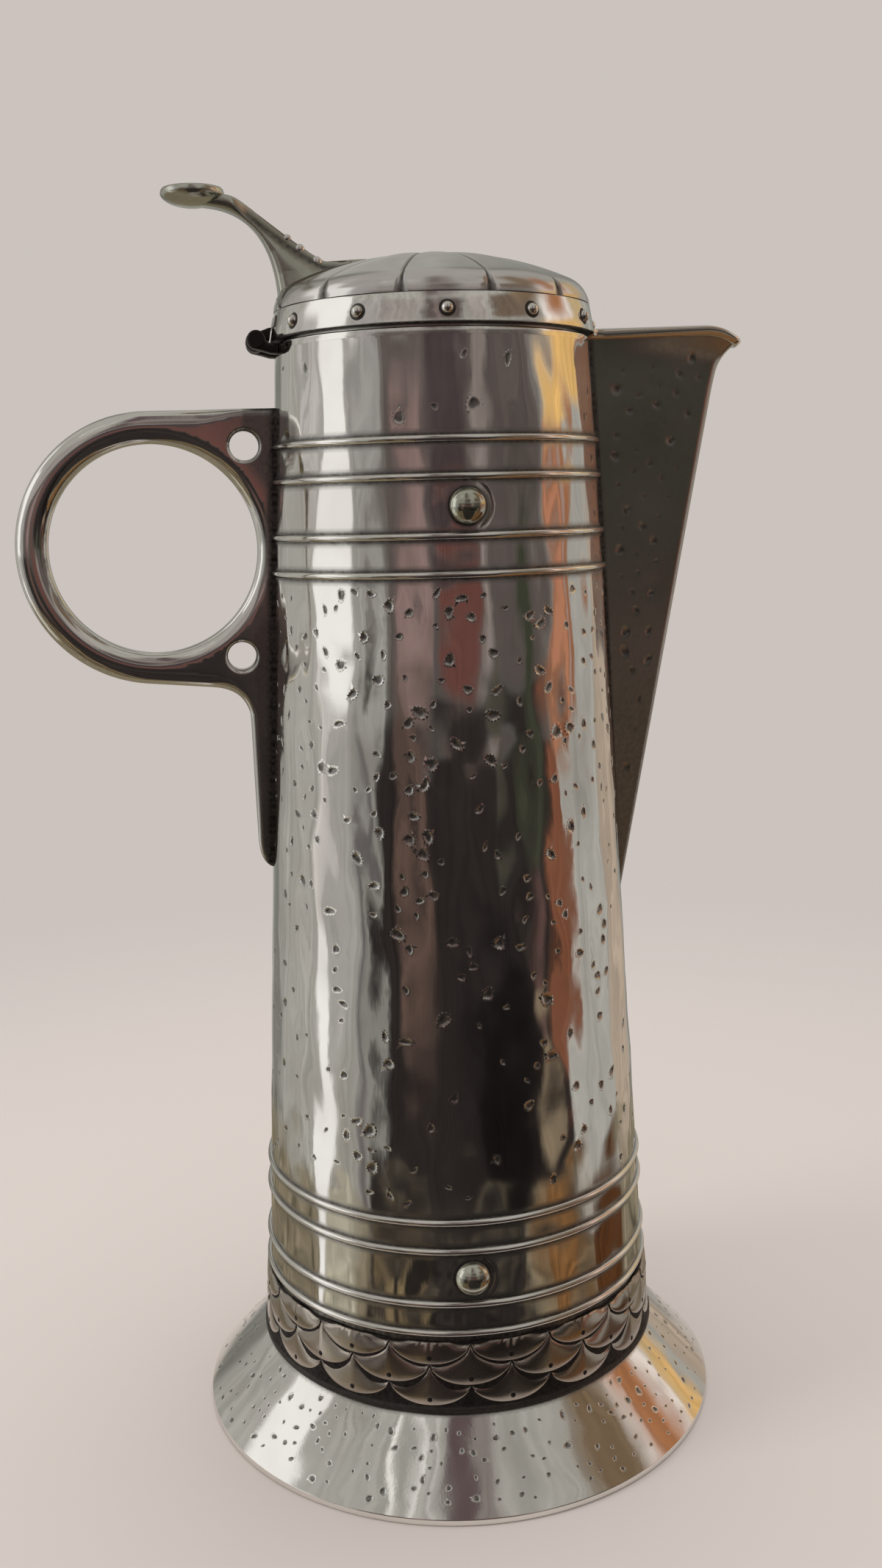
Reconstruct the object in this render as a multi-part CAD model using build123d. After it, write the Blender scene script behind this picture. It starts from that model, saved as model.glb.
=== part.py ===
from build123d import *

import os
from math import asin, atan2, cos, hypot, radians, sin, tan

# A claret jug: a tapered body on a spreading foot, a narrow beak spout, a flat cast handle with a
# finger ring, and a domed lid on a pinned hinge, raised with a thumb lever.
# Millimetres, +Z up. The spout points along +X, the handle along -X, and the origin is the middle
# of the foot, on the table.

os.makedirs("parts", exist_ok=True)

# ---- Driving dimensions ---------------------------------------------------------------------

# Body: a cone of sheet metal, closed by a floor disc
body_bottom = 20.6            # height where the cone stands on the foot
body_top = 292.8
body_bottom_radius = 54.7
body_top_radius = 41.05
wall = 1.2                    # sheet of the body, the spout and the foot
floor_thickness = 1.2
mouth_wire_height = 1.8       # the wire that stiffens the mouth
mouth_wire_proud = 0.5

# Foot: a spreading skirt, closed by a plate
foot_radius = 72.3
foot_rim_height = 2.0
foot_rim_width = 2.6
foot_top_inset = 0.4          # the skirt starts this far inside the cone
base_plate_thickness = 1.2

# Applied ornament
upper_ring_drops = (25.9, 34.8, 48.9, 58.1)   # from the mouth down
lower_ring_rises = (50.9, 43.2, 29.0, 21.2)   # from the bottom of the cone up
ring_wire_radius = 0.9
boss_diameter = 9.1
boss_proud = 3.5
upper_boss_turn = 1.8         # degrees round from the front, hand-set
lower_boss_turn = -3.6
band_top_gap = 1.2            # from the top of the scale band to the ring above it
band_bottom_proud = 0.9
band_top_proud = 0.6
band_seat_gap = 0.1           # film of solder between the band and the cone

# Spout: horizontal V sections, each with a rounded nose
spout_length = 154.8          # from the mouth down to where the keel leaves the body
spout_neck_drop = 12.8        # from the mouth down to where the keel starts to curl outwards
spout_neck_overhang = 34.5    # from the mouth's radius out to the keel there
# Lip: height over the neck, and how far the keel has curled out there
spout_lip_curl = ((4.0, 0.15), (6.5, 0.5), (8.5, 1.4), (10.5, 3.0), (12.5, 5.2), (17.0, 10.0))
spout_half_angle = 17.4       # degrees, half the angle of the V
nose_radius_top = 3.2
nose_radius_bottom = 1.9
spout_root_depth = 7.0        # the V sections run this far inside the cone before they are cut
lip_rise = 1.2                # lift of the spout's edge above the mouth, beside the lid
lip_crest_overhang = 30.4     # from the mouth's radius out to the highest point of the edge
lip_crest_rise = 3.1
lip_tip_overhang = 42.8       # from the mouth's radius out to the pouring tip
lip_tip_drop = 0.9
lip_strip_height = 2.6
lip_strip_proud = 1.2

# Handle: a flat casting with a finger ring and a tail down the body
handle_thickness = 7.0
handle_edge_round = 2.4
finger_ring_bore = 53.6
finger_ring_width = 8.4
finger_ring_land = 4.4        # metal between the bore and the cone
finger_ring_drop = 51.0       # from the mouth down to the centre of the bore
handle_underside_fall = 5.6   # degrees, the underside falls towards the body
handle_elbow_stand = 6.3      # from the cone to where the underside turns down into the tail
handle_elbow_round = 8.5
handle_heel_stand = 3.8       # from the cone to the outside of the tail, where its end starts to round
handle_heel_drop = 130.8      # from the mouth down to that place
handle_heel_round = 4.0
handle_tail_drop = 137.2      # from the mouth down to the tail's end
handle_hole = 7.6
handle_hole_chamfer = 0.75
handle_hole_land = 5.1        # metal between a small hole and the finger ring's bore
handle_hole_angles = (46.5, -53.1)   # degrees, seen from the centre of the bore

# Lid: collar, dome of twelve petals, locating bezel
lid_seam = 0.6                # gap between the mouth and the collar
collar_height = 7.4
collar_overhang = 1.25        # from the mouth's radius out to the collar's lower edge
collar_taper = 1.4            # loss of radius up to its upper edge
dome_height = 13.7
dome_sheet = 1.2
dome_inset = 0.1
dome_shoulder_radius = 6.0    # the dome rises from the collar on this curve, then the crown takes over
petals = 12
petal_turn = 12.0             # degrees from the front to a groove
groove_width = 0.8
groove_depth = 0.5
groove_inner_radius = 6.0
bezel_clearance = 0.35
bezel_wall = 1.0
bezel_drop = 3.0              # how far the bezel reaches below the mouth
bezel_seat = 3.6              # how far it reaches up inside the collar
studs = 12
stud_turn = -3.0              # degrees from the front to a stud
stud_radius = 1.5
stud_drop = 4.1               # from the top of the collar to the studs
spout_clearance = 0.35        # from the lid's collar to the spout's ends

# Hinge
hinge_stand = 4.95            # from the mouth's radius out to the pin
hinge_rise = 0.8              # from the mouth up to the pin
knuckle_radius = 2.6
hinge_half_width = 8.0
knuckle_split = 2.7           # half the width of the lid's knuckle
knuckle_gap = 0.15
pin_radius = 1.2
pin_clearance = 0.05
pin_head_radius = 1.9
pin_head_thickness = 0.7
bracket_drop = 4.4            # from the pin down to the foot of the bracket
bracket_top_drop = 0.9        # from the pin down to the shelf beside the mouth
bracket_edge = 1.8            # height of the shelf's outer edge
hinge_swing_gap = 0.35
leaf_half_width = 7.0
leaf_thickness = 0.7
leaf_bottom_rise = 3.1        # from the pin up to the lower edge of the leaf
leaf_top_rise = 6.0
leaf_lean = 0.6               # the leaf leans in by this much towards its top

# Thumb lever: a leaf-shaped foot on the dome, a bent stem and a dished disc
lever_foot_half_width = 10.0
lever_foot_inset = 1.6        # from the collar's upper edge in to the back of the foot
lever_foot_height = 4.6       # the foot has spread to the stem at this height over the collar
lever_tip_reach = 17.7        # from the axis to the point of the leaf
lever_toe_reach = 27.8        # from the axis to where the slope meets the leaf
lever_toe_stand = 2.8         # height of that place over the dome
lever_brow = (11.4, 1.1)      # from the disc's centre towards the lid, and down, to the top of the slope
lever_stem_half_width = 3.6
lever_back_pull = (17.0, 13.5)   # how far the back runs straight up, and straight in under the disc
thumb_disc_diameter = 16.0
thumb_disc_stand = 20.8       # from the back of the lever's foot out to the disc's centre
thumb_disc_rise = 28.8        # from the collar's upper edge up to the disc's widest line
thumb_disc_depth = 3.1        # depth of the domed underside
thumb_disc_rim = 1.5          # height of the rim above the widest line
thumb_disc_rim_lean = 0.4     # the rim leans in by this much
thumb_disc_rim_width = 1.6    # from the widest line in to the dish
thumb_disc_dish = 1.3
bead_places = ((0.9, 1.8), (6.5, 1.4), (10.2, 0.95))   # distance up the slope from the toe, radius

# ---- Worked out from them --------------------------------------------------------------------

upper_ring_heights = [body_top - drop for drop in upper_ring_drops]
lower_ring_heights = [body_bottom + rise for rise in lower_ring_rises]
spout_apex = body_top - spout_length
spout_neck = body_top - spout_neck_drop
collar_bottom = body_top + lid_seam
collar_top = collar_bottom + collar_height
collar_bottom_radius = body_top_radius + collar_overhang
collar_top_radius = collar_bottom_radius - collar_taper
hinge_reach = body_top_radius + hinge_stand
hinge_height = body_top + hinge_rise
inner_limit = 0.75 * body_top_radius   # side views run in to here before they are cut to the cone
bezel_radius = body_top_radius - wall - bezel_clearance
crown_radius = ((collar_top_radius - dome_inset - dome_shoulder_radius) ** 2 + dome_height**2
                - dome_shoulder_radius**2) / (2 * (dome_height - dome_shoulder_radius))
AXIS = Axis.Z
HINGE_TURN = 270              # degrees from the front to the hinge, turning towards the spout first


def body_radius(height):
    """Outside radius of the cone at a height."""
    share = (height - body_bottom) / (body_top - body_bottom)
    return body_bottom_radius + share * (body_top_radius - body_bottom_radius)


def turned(*points):
    """A solid of revolution about the jug's axis, from (radius, height) corners."""
    return revolve(Plane.XZ * make_face(Polyline(*points, close=True)), AXIS)


def around(turn, solid):
    """A solid made on the front, -Y, side, turned round the jug's axis."""
    return Rot(0, 0, turn) * solid


def side_plate(outline, half_width):
    """A side view in (x, height), made into a plate that lies across the plane y = 0."""
    return extrude(Plane.XZ * outline, half_width, both=True)


def side_shape(*points):
    return make_face(Polyline(*points, close=True))


def side_cylinder(x, height, radius, y_from, y_to):
    """A cylinder along Y."""
    middle = (y_from + y_to) / 2
    return Pos(x, middle, height) * Rot(90, 0, 0) * Cylinder(radius, abs(y_to - y_from))


# ---- Envelopes that other pieces are cut with ------------------------------------------------

mouth_wire_bottom = body_top - mouth_wire_height
mouth_wire_radius = body_top_radius + mouth_wire_proud
body_envelope = turned(
    (0, body_bottom), (body_bottom_radius, body_bottom), (body_radius(mouth_wire_bottom), mouth_wire_bottom),
    (mouth_wire_radius, mouth_wire_bottom), (mouth_wire_radius, body_top), (0, body_top),
)
collar_envelope = turned(
    (0, collar_bottom), (collar_bottom_radius, collar_bottom), (collar_top_radius, collar_top), (0, collar_top),
)


def arc_to(start, centre, radius, end):
    """The short arc of a circle from start to end, through the middle of the turn."""
    first = atan2(start[1] - centre[1], start[0] - centre[0])
    last = atan2(end[1] - centre[1], end[0] - centre[0])
    middle = (first + last) / 2
    return ThreePointArc(start, (centre[0] + radius * cos(middle), centre[1] + radius * sin(middle)), end)


def dome_cap(inset):
    """The solid under the dome: a tight shoulder arc and a wide crown arc, set in by a thickness."""
    reach = collar_top_radius - dome_inset
    shoulder = dome_shoulder_radius
    crown = crown_radius
    shoulder_centre = (reach - shoulder, collar_top)
    crown_centre = (0, collar_top + dome_height - crown)
    across, up = shoulder_centre[0] - crown_centre[0], shoulder_centre[1] - crown_centre[1]
    scale = (crown - inset) / hypot(across, up)
    join = (crown_centre[0] + across * scale, crown_centre[1] + up * scale)
    foot, top = (reach - inset, collar_top), (0, collar_top + dome_height - inset)
    shoulder_arc = arc_to(foot, shoulder_centre, shoulder - inset, join)
    crown_arc = arc_to(join, crown_centre, crown - inset, top)
    return revolve(Plane.XZ * make_face([shoulder_arc, crown_arc, Polyline(top, (0, collar_top), foot)]), AXIS)


dome_envelope = dome_cap(0)

# ---- Body ------------------------------------------------------------------------------------


def straight_keel(height):
    """Reach of the keel from the axis, before the lip curls it outwards."""
    share = (height - spout_apex) / (spout_neck - spout_apex)
    neck_reach = body_top_radius + spout_neck_overhang
    return body_radius(spout_apex) + share * (neck_reach - body_radius(spout_apex))


def nose_radius(height):
    share = (height - spout_apex) / (body_top - spout_apex)
    return nose_radius_bottom + share * (nose_radius_top - nose_radius_bottom)


def spout_section(height, curl, grow):
    """One V section: a flank from inside the cone, tangent to the rounded nose, and its mirror image."""
    radius = nose_radius(height)
    centre = straight_keel(height) - radius
    angle = radians(spout_half_angle)
    back = body_radius(height) - spout_root_depth
    half = (centre - back) * tan(angle) + radius / cos(angle)
    centre += curl
    run = hypot(centre - back, half)
    heading = atan2(-half, centre - back) + asin(radius / run)
    out = (-sin(heading), cos(heading))
    start = (back + grow * out[0], half + grow * out[1])
    end = (centre + (radius + grow) * out[0], (radius + grow) * out[1])
    flank = Line(start, end)
    nose = ThreePointArc(end, (centre + radius + grow, 0), (end[0], -end[1]))
    other = Line((end[0], -end[1]), (start[0], -start[1]))
    return Pos(0, 0, height) * make_face([flank, nose, other, Line((start[0], -start[1]), start)])


def spout_body(grow):
    """The spout as one filled solid, larger all round by grow."""
    straight = [spout_apex - 10, spout_apex, (spout_apex + spout_neck) / 2, spout_neck]
    sections = [spout_section(height, 0, grow) for height in straight]
    sections += [spout_section(spout_neck + rise, curl, grow) for rise, curl in spout_lip_curl]
    return loft(sections, ruled=True)


spout_outside = spout_body(0)
spout_inside = spout_body(-wall)


def lip_region(drop):
    """Everything below the spout's pouring edge, lowered by drop: a straight rise, then a curve to the tip."""
    start = (inner_limit, body_top + lip_rise - drop)
    crest = (body_top_radius + lip_crest_overhang, body_top + lip_crest_rise - drop)
    tip = (body_top_radius + lip_tip_overhang, body_top - lip_tip_drop - drop)
    rise = Line(start, crest)
    fall = TangentArc(crest, tip, tangent=rise % 1)
    run_out = fall @ 1 + (fall % 1) * spout_neck_overhang
    legs = Polyline(tip, run_out, (run_out.X, body_bottom), (start[0], body_bottom), start)
    return side_plate(make_face([rise, fall, legs]), body_top_radius)


lid_room = collar_bottom_radius + spout_clearance
lid_swing = turned((0, body_top), (lid_room, body_top), (lid_room, crown_radius + body_top), (0, crown_radius + body_top))
below_lip = lip_region(0)
below_strip = lip_region(lip_strip_height)


def make_body_shell():
    outside = turned(
        (body_bottom_radius - wall, body_bottom), (body_bottom_radius, body_bottom),
        (body_radius(mouth_wire_bottom), mouth_wire_bottom),
        (body_radius(mouth_wire_bottom) - wall, mouth_wire_bottom),
    )
    return outside - spout_inside


def make_mouth_wire():
    ring = turned(
        (body_radius(mouth_wire_bottom) - wall, mouth_wire_bottom), (mouth_wire_radius, mouth_wire_bottom),
        (mouth_wire_radius, body_top), (body_top_radius - wall, body_top),
    )
    return ring - spout_inside


def make_vessel_floor():
    top = body_bottom + floor_thickness
    return turned(
        (0, body_bottom), (body_bottom_radius - wall, body_bottom), (body_radius(top) - wall, top), (0, top),
    )


def make_foot_skirt():
    top_radius = body_bottom_radius - foot_top_inset
    slope = hypot(foot_radius - top_radius, body_bottom - foot_rim_height) / (body_bottom - foot_rim_height)
    inner_top = top_radius - wall * slope
    inner_bottom = foot_radius - foot_rim_width
    return turned(
        (inner_bottom, 0), (foot_radius, 0), (foot_radius, foot_rim_height), (top_radius, body_bottom),
        (inner_top, body_bottom), (inner_bottom, foot_rim_height),
    )


def make_base_plate():
    radius = foot_radius - foot_rim_width
    return turned((0, 0), (radius, 0), (radius, base_plate_thickness), (0, base_plate_thickness))


def make_spout_beak():
    return (spout_outside - spout_inside) & below_lip - body_envelope - lid_swing


def make_spout_strip():
    band = (spout_body(lip_strip_proud) - spout_outside) & (below_lip - below_strip)
    return band - body_envelope - lid_swing


# ---- Applied ornament ------------------------------------------------------------------------


def make_ring(height):
    """A half-round wire, with its flat side on the cone."""
    corners = []
    for angle in range(-90, 91, 30):
        z = height + ring_wire_radius * sin(radians(angle))
        corners.append((body_radius(z) + ring_wire_radius * cos(radians(angle)), z))
    return turned(*corners)


def make_bosses(height, turn):
    """A domed boss on the front and one on the back."""
    radius = ((boss_diameter / 2) ** 2 + boss_proud**2) / (2 * boss_proud)
    centre = body_radius(height) + boss_proud - radius
    boss = Pos(0, -centre, height) * Rot(90, 0, 0) * Sphere(radius) - body_envelope
    return [around(turn, boss), around(turn + 180, boss)]


def make_scale_band():
    top = lower_ring_heights[-1] - ring_wire_radius - band_top_gap
    seat = body_bottom_radius + band_seat_gap
    return turned(
        (seat, body_bottom), (body_bottom_radius + band_bottom_proud, body_bottom),
        (body_radius(top) + band_top_proud, top), (body_radius(top) + band_seat_gap, top),
    )


# ---- Handle ----------------------------------------------------------------------------------

ring_height = body_top - finger_ring_drop
ring_centre = (-(body_radius(ring_height) + finger_ring_land + finger_ring_bore / 2), ring_height)
ring_outer_radius = finger_ring_bore / 2 + finger_ring_width


def make_handle_outline():
    """Side view of the casting, still running inside the cone."""
    cx, cz = ring_centre
    fall = radians(handle_underside_fall)
    leave = (cx - ring_outer_radius * sin(fall), cz - ring_outer_radius * cos(fall))
    elbow_x = -(body_radius(leave[1]) + handle_elbow_stand)
    elbow = (elbow_x, leave[1] - (elbow_x - leave[0]) * tan(fall))
    heel, tail = body_top - handle_heel_drop, body_top - handle_tail_drop
    heel_corner = (-(body_radius(heel) + handle_heel_stand), heel)
    web = side_shape(
        (cx, cz + ring_outer_radius), (-inner_limit, cz + ring_outer_radius), (-inner_limit, tail),
        (-body_radius(tail), tail), heel_corner, elbow, leave, (cx, cz),
    )
    for place, radius in ((elbow, handle_elbow_round), (heel_corner, handle_heel_round)):
        web = fillet(web.vertices().sort_by_distance((place[0], place[1], 0))[0], radius)
    return web + Pos(cx, cz) * Circle(ring_outer_radius)


def handle_bore(place, diameter, chamfer_size):
    x, z = place
    bore = side_cylinder(x, z, diameter / 2, -handle_thickness, handle_thickness)
    if chamfer_size > 0:
        for side in (-1, 1):
            sink = Cone(diameter / 2, diameter / 2 + 2 * chamfer_size, 2 * chamfer_size)
            bore += Pos(x, side * handle_thickness / 2, z) * Rot(-90 * side, 0, 0) * sink
    return bore


def make_handle():
    plate = side_plate(make_handle_outline(), handle_thickness / 2)
    plate -= handle_bore(ring_centre, finger_ring_bore, 0)
    rims = [e for f in plate.faces().filter_by(Axis.Y) for e in f.edges() if e.center().X < -body_top_radius]
    plate = fillet(rims, handle_edge_round)
    hole_distance = (finger_ring_bore + handle_hole) / 2 + handle_hole_land
    for angle in handle_hole_angles:
        x = ring_centre[0] + hole_distance * cos(radians(angle))
        z = ring_centre[1] + hole_distance * sin(radians(angle))
        plate -= handle_bore((x, z), handle_hole, handle_hole_chamfer)
    return plate - body_envelope


# ---- Hinge -----------------------------------------------------------------------------------


def knuckle(y_from, y_to):
    return side_cylinder(-hinge_reach, hinge_height, knuckle_radius, y_from, y_to)


def pin_bore():
    length = 2 * hinge_half_width
    return side_cylinder(-hinge_reach, hinge_height, pin_radius + pin_clearance, -length, length)


def make_hinge_bracket():
    """Shelf soldered under the mouth, with the two outer knuckles."""
    x = -hinge_reach
    shelf_top = hinge_height - bracket_top_drop
    web = side_shape(
        (-inner_limit, shelf_top), (x - knuckle_radius, shelf_top),
        (x - knuckle_radius, shelf_top - bracket_edge),
        (-body_radius(hinge_height - bracket_drop) - wall, hinge_height - bracket_drop),
        (-inner_limit, hinge_height - bracket_drop),
    )
    bracket = side_plate(web, hinge_half_width)
    split = knuckle_split + knuckle_gap
    swing = knuckle_radius + hinge_swing_gap
    slot = side_plate(
        Pos(x, hinge_height) * Circle(swing)
        + Pos(x - swing, hinge_height) * Rectangle(2 * swing, 2 * swing), split
    )
    slot += side_plate(Pos(x, hinge_height + 3 * swing) * Rectangle(8 * swing, 6 * swing), split)
    bracket += knuckle(-hinge_half_width, -split) + knuckle(split, hinge_half_width)
    return bracket - slot - pin_bore() - body_envelope


def make_hinge_pin():
    x, z = -hinge_reach, hinge_height
    pin = side_cylinder(x, z, pin_radius, -hinge_half_width, hinge_half_width)
    for side in (-1, 1):
        end = hinge_half_width * side
        pin += side_cylinder(x, z, pin_head_radius, end, end + pin_head_thickness * side)
    return pin


def make_lid_hinge_leaf():
    """Leaf up the back of the collar, with the middle knuckle."""
    x, z = -hinge_reach, hinge_height
    low, high = z + leaf_bottom_rise, z + leaf_top_rise
    outer = collar_bottom_radius + leaf_thickness
    leaf = side_plate(
        side_shape((-inner_limit, low), (-outer, low), (-outer + leaf_lean, high), (-inner_limit, high)),
        leaf_half_width,
    )
    arm = side_plate(
        side_shape((x, z + knuckle_gap), (-inner_limit, z + knuckle_gap),
                   (-inner_limit, low + leaf_thickness), (-outer, low + leaf_thickness), (x, z + knuckle_radius)),
        knuckle_split,
    )
    return leaf + arm + knuckle(-knuckle_split, knuckle_split) - pin_bore() - collar_envelope - dome_envelope


# ---- Lid -------------------------------------------------------------------------------------


def make_lid_collar():
    return collar_envelope - turned(
        (0, body_top), (bezel_radius, body_top),
        (bezel_radius, collar_top + lid_seam), (0, collar_top + lid_seam),
    )


def make_lid_dome():
    shell = dome_envelope - dome_cap(dome_sheet)
    skin = dome_envelope - dome_cap(groove_depth)
    length = collar_top_radius
    blade = Pos(0, -groove_inner_radius - length / 2, collar_top + dome_height / 2)
    blade *= Box(groove_width, length, dome_height * 2)
    groove = skin & blade
    for number in range(petals):
        shell -= around(petal_turn + number * 360 / petals, groove)
    return shell


def make_lid_bezel():
    low, high = body_top - bezel_drop, collar_bottom + bezel_seat
    return turned(
        (bezel_radius - bezel_wall, low), (bezel_radius, low),
        (bezel_radius, high), (bezel_radius - bezel_wall, high),
    )


def make_lid_studs():
    """A ring of studs round the collar; the one place under the hinge's leaf stays bare."""
    height = collar_top - stud_drop
    share = stud_drop / collar_height
    radius = collar_top_radius + share * (collar_bottom_radius - collar_top_radius)
    stud = Pos(0, -radius, height) * Sphere(stud_radius) - collar_envelope
    turns = [stud_turn + number * 360 / studs for number in range(studs)]
    return [around(turn, stud) for turn in turns if abs(turn % 360 - HINGE_TURN) > 180 / studs]


# ---- Thumb lever -----------------------------------------------------------------------------


lever_back = -(collar_top_radius - lever_foot_inset)
disc_place = (lever_back - thumb_disc_stand, collar_top + thumb_disc_rise)


def crown_height(reach):
    """Height of the dome's crown at a distance from the axis."""
    return collar_top + dome_height - crown_radius + (crown_radius**2 - reach**2) ** 0.5


toe = (-lever_toe_reach, crown_height(lever_toe_reach) + lever_toe_stand)
brow = (disc_place[0] + lever_brow[0], disc_place[1] - lever_brow[1])


def make_thumb_lever():
    """Side view of the lever, narrowed by its back view and by its plan."""
    sunk = collar_top - collar_height / 2
    under_disc = (disc_place[0] + 0.1 * thumb_disc_diameter, disc_place[1] - 0.9 * thumb_disc_depth)
    in_disc = (disc_place[0] + 0.35 * thumb_disc_diameter, disc_place[1])
    tip = (-lever_tip_reach, crown_height(lever_tip_reach))
    foot = (lever_back, collar_top)
    back = Bezier(
        foot, (foot[0], foot[1] + lever_back_pull[0]),
        (under_disc[0] + lever_back_pull[1], under_disc[1]), under_disc,
    )
    front = Polyline(under_disc, in_disc, brow, toe, tip, (tip[0], sunk), (foot[0], sunk), foot)
    side = side_plate(make_face([back, front]), lever_foot_half_width)
    stem, spread = lever_stem_half_width, lever_foot_half_width
    top = disc_place[1] + thumb_disc_rim
    flare = [(spread, sunk), (spread, collar_top + 0.2 * lever_foot_height), (0.6 * (stem + spread) / 1.3,
             collar_top + lever_foot_height), (stem * 1.2, collar_top + 2 * lever_foot_height),
             (stem, collar_top + 3.2 * lever_foot_height), (stem, top)]
    from_behind = make_face(Polyline(*flare, *[(-y, z) for y, z in reversed(flare)], close=True))
    side &= extrude(Plane.YZ * from_behind, 2 * disc_place[0])
    leaf = lever_toe_reach - lever_tip_reach
    plan = [(disc_place[0], spread), (lever_back, spread), (toe[0] - 0.2 * leaf, 0.5 * spread),
            (toe[0] + 0.5 * leaf, 0.25 * spread), (tip[0], 0.05 * spread)]
    outline = make_face(Polyline(*plan, *[(x, -y) for x, y in reversed(plan)], close=True))
    side &= Pos(0, 0, sunk) * extrude(outline, top - sunk)
    return side - dome_envelope - collar_envelope - make_thumb_disc() - make_lid_hinge_leaf()


def shallow_arc(radius, edge_height, depth):
    """From the edge of a shallow dish, at (radius, edge_height), to its lowest point on the axis."""
    sweep = (radius**2 + depth**2) / (2 * depth)
    middle = (radius / 2, edge_height - depth + sweep - (sweep**2 - (radius / 2) ** 2) ** 0.5)
    return ThreePointArc((radius, edge_height), middle, (0, edge_height - depth))


def make_thumb_disc():
    """A round touch-piece: domed below, dished above with a low rim."""
    radius = thumb_disc_diameter / 2
    below = shallow_arc(radius, 0, thumb_disc_depth)
    dish = shallow_arc(radius - thumb_disc_rim_width, thumb_disc_rim, thumb_disc_dish)
    rim = Polyline(below @ 0, (radius - thumb_disc_rim_lean, thumb_disc_rim), dish @ 0)
    disc = revolve(Plane.XZ * make_face([below, rim, dish, Line(dish @ 1, below @ 1)]), AXIS)
    return Pos(disc_place[0], 0, disc_place[1]) * disc


def make_thumb_beads(lever):
    slope = atan2(brow[1] - toe[1], brow[0] - toe[0])
    places = [(toe[0] + up * cos(slope), toe[1] + up * sin(slope), radius) for up, radius in bead_places]
    return [Pos(x, 0, z) * Sphere(radius) - lever for x, z, radius in places]


# ---- Assembly --------------------------------------------------------------------------------


def save(name, shape):
    solids = shape if isinstance(shape, list) else [shape]
    solids = [solid for item in solids for solid in item.solids()]
    export_step(Compound(children=solids), f"parts/{name}.step")


lever = make_thumb_lever()
handle = make_handle()

save("body_shell", make_body_shell())
save("mouth_rim_wire", make_mouth_wire())
save("vessel_floor", make_vessel_floor())
save("foot_skirt", make_foot_skirt())
save("base_plate", make_base_plate())
save("scale_band", make_scale_band())
for number, height in enumerate(upper_ring_heights, 1):
    save(f"upper_ring_{number}", make_ring(height) - spout_outside - handle)
for number, height in enumerate(lower_ring_heights, 1):
    save(f"lower_ring_{number}", make_ring(height))
upper_boss_height = sum(upper_ring_heights[1:3]) / 2
lower_boss_height = sum(lower_ring_heights[1:3]) / 2
save("upper_bosses", make_bosses(upper_boss_height, upper_boss_turn))
save("lower_bosses", make_bosses(lower_boss_height, lower_boss_turn))
save("spout_beak", make_spout_beak())
save("spout_rim_strip", make_spout_strip())
save("handle_casting", handle)
save("hinge_bracket", make_hinge_bracket())
save("hinge_pin", make_hinge_pin())
save("lid_dome", make_lid_dome())
save("lid_collar", make_lid_collar())
save("lid_studs", make_lid_studs())
save("lid_bezel", make_lid_bezel())
save("lid_hinge_leaf", make_lid_hinge_leaf())
save("thumb_lever", lever)
save("thumb_disc", make_thumb_disc())
save("thumb_beads", make_thumb_beads(lever))
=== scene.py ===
# %% [markdown]
# # A hand-raised silver claret jug
# The jug is a tapered body on a spreading foot, with a narrow beak of a spout, a flat cast handle
# with a finger ring, and a domed lid that a thumb lever lifts. Its solids come from the CAD model,
# which is loaded first as a frame that never moves. Everything made here is placed in that frame.

# %% Load the frame
import math

import bmesh
import bpy
import numpy as np
from mathutils import Matrix, Vector, geometry


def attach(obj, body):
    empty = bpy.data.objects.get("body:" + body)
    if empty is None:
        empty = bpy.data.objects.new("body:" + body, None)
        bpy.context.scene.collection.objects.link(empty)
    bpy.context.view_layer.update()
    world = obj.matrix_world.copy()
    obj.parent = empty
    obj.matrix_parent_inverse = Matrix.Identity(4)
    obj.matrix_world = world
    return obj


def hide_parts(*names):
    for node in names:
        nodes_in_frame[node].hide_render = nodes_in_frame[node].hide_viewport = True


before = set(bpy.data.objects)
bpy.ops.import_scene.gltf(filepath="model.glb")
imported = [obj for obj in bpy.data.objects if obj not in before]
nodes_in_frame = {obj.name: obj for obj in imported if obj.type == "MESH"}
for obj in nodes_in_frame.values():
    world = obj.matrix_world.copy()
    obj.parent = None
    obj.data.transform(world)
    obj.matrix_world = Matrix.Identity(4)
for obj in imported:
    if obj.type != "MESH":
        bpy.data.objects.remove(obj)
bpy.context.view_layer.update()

MM = 0.001

# %% [markdown]
# ## Helpers for making a piece
# A mesh can be made from a modifier stack, by sculpting, or straight from points and faces. Silver
# shows every uneven polygon, so most pieces here are worked out as points, in millimetres, and are
# turned into one mesh with its place already in it. A vertex attribute says how dark the silver is
# at that point, from 0 to 1, and the finishes read it. Mostly that is sulphide patina in the hollows,
# but at the handle's and the collar's joins, under the overlapping scales and round the studs it is
# painted shade. On the inside of the sheet it is -1, where the silver is left satin.


# %% Helpers
def make_mesh(name, points, faces, finish, sharp=35, patina_and_painted_shade=None, corner_normals=None):
    """A smooth mesh in the scene, with an edge kept sharp above an angle or with given normals."""
    mesh = bpy.data.meshes.new(name)
    corners = [tuple(int(i) for i in face) for face in faces]
    mesh.from_pydata((np.asarray(points, float) * MM).tolist(), [], corners)
    mesh.shade_smooth()
    if patina_and_painted_shade is not None:
        layer = mesh.attributes.new("patina_and_painted_shade", "FLOAT", "POINT")
        layer.data.foreach_set("value", np.asarray(patina_and_painted_shade, np.float32))
    if corner_normals is not None:
        mesh.normals_split_custom_set([tuple(n) for n in corner_normals])
    elif sharp:
        mesh.set_sharp_from_angle(angle=math.radians(sharp))
    mesh.materials.append(finish)
    piece = bpy.data.objects.new(name, mesh)
    bpy.context.scene.collection.objects.link(piece)
    return piece


def settle(piece, body, slot, *replaced):
    """The piece rides on a body and stands for some CAD nodes. Its slot is not used."""
    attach(piece, body)
    if replaced:
        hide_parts(*replaced)
    print(f"{piece.name}: {len(piece.data.vertices)} points, rides on {body}")
    return piece


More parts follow.
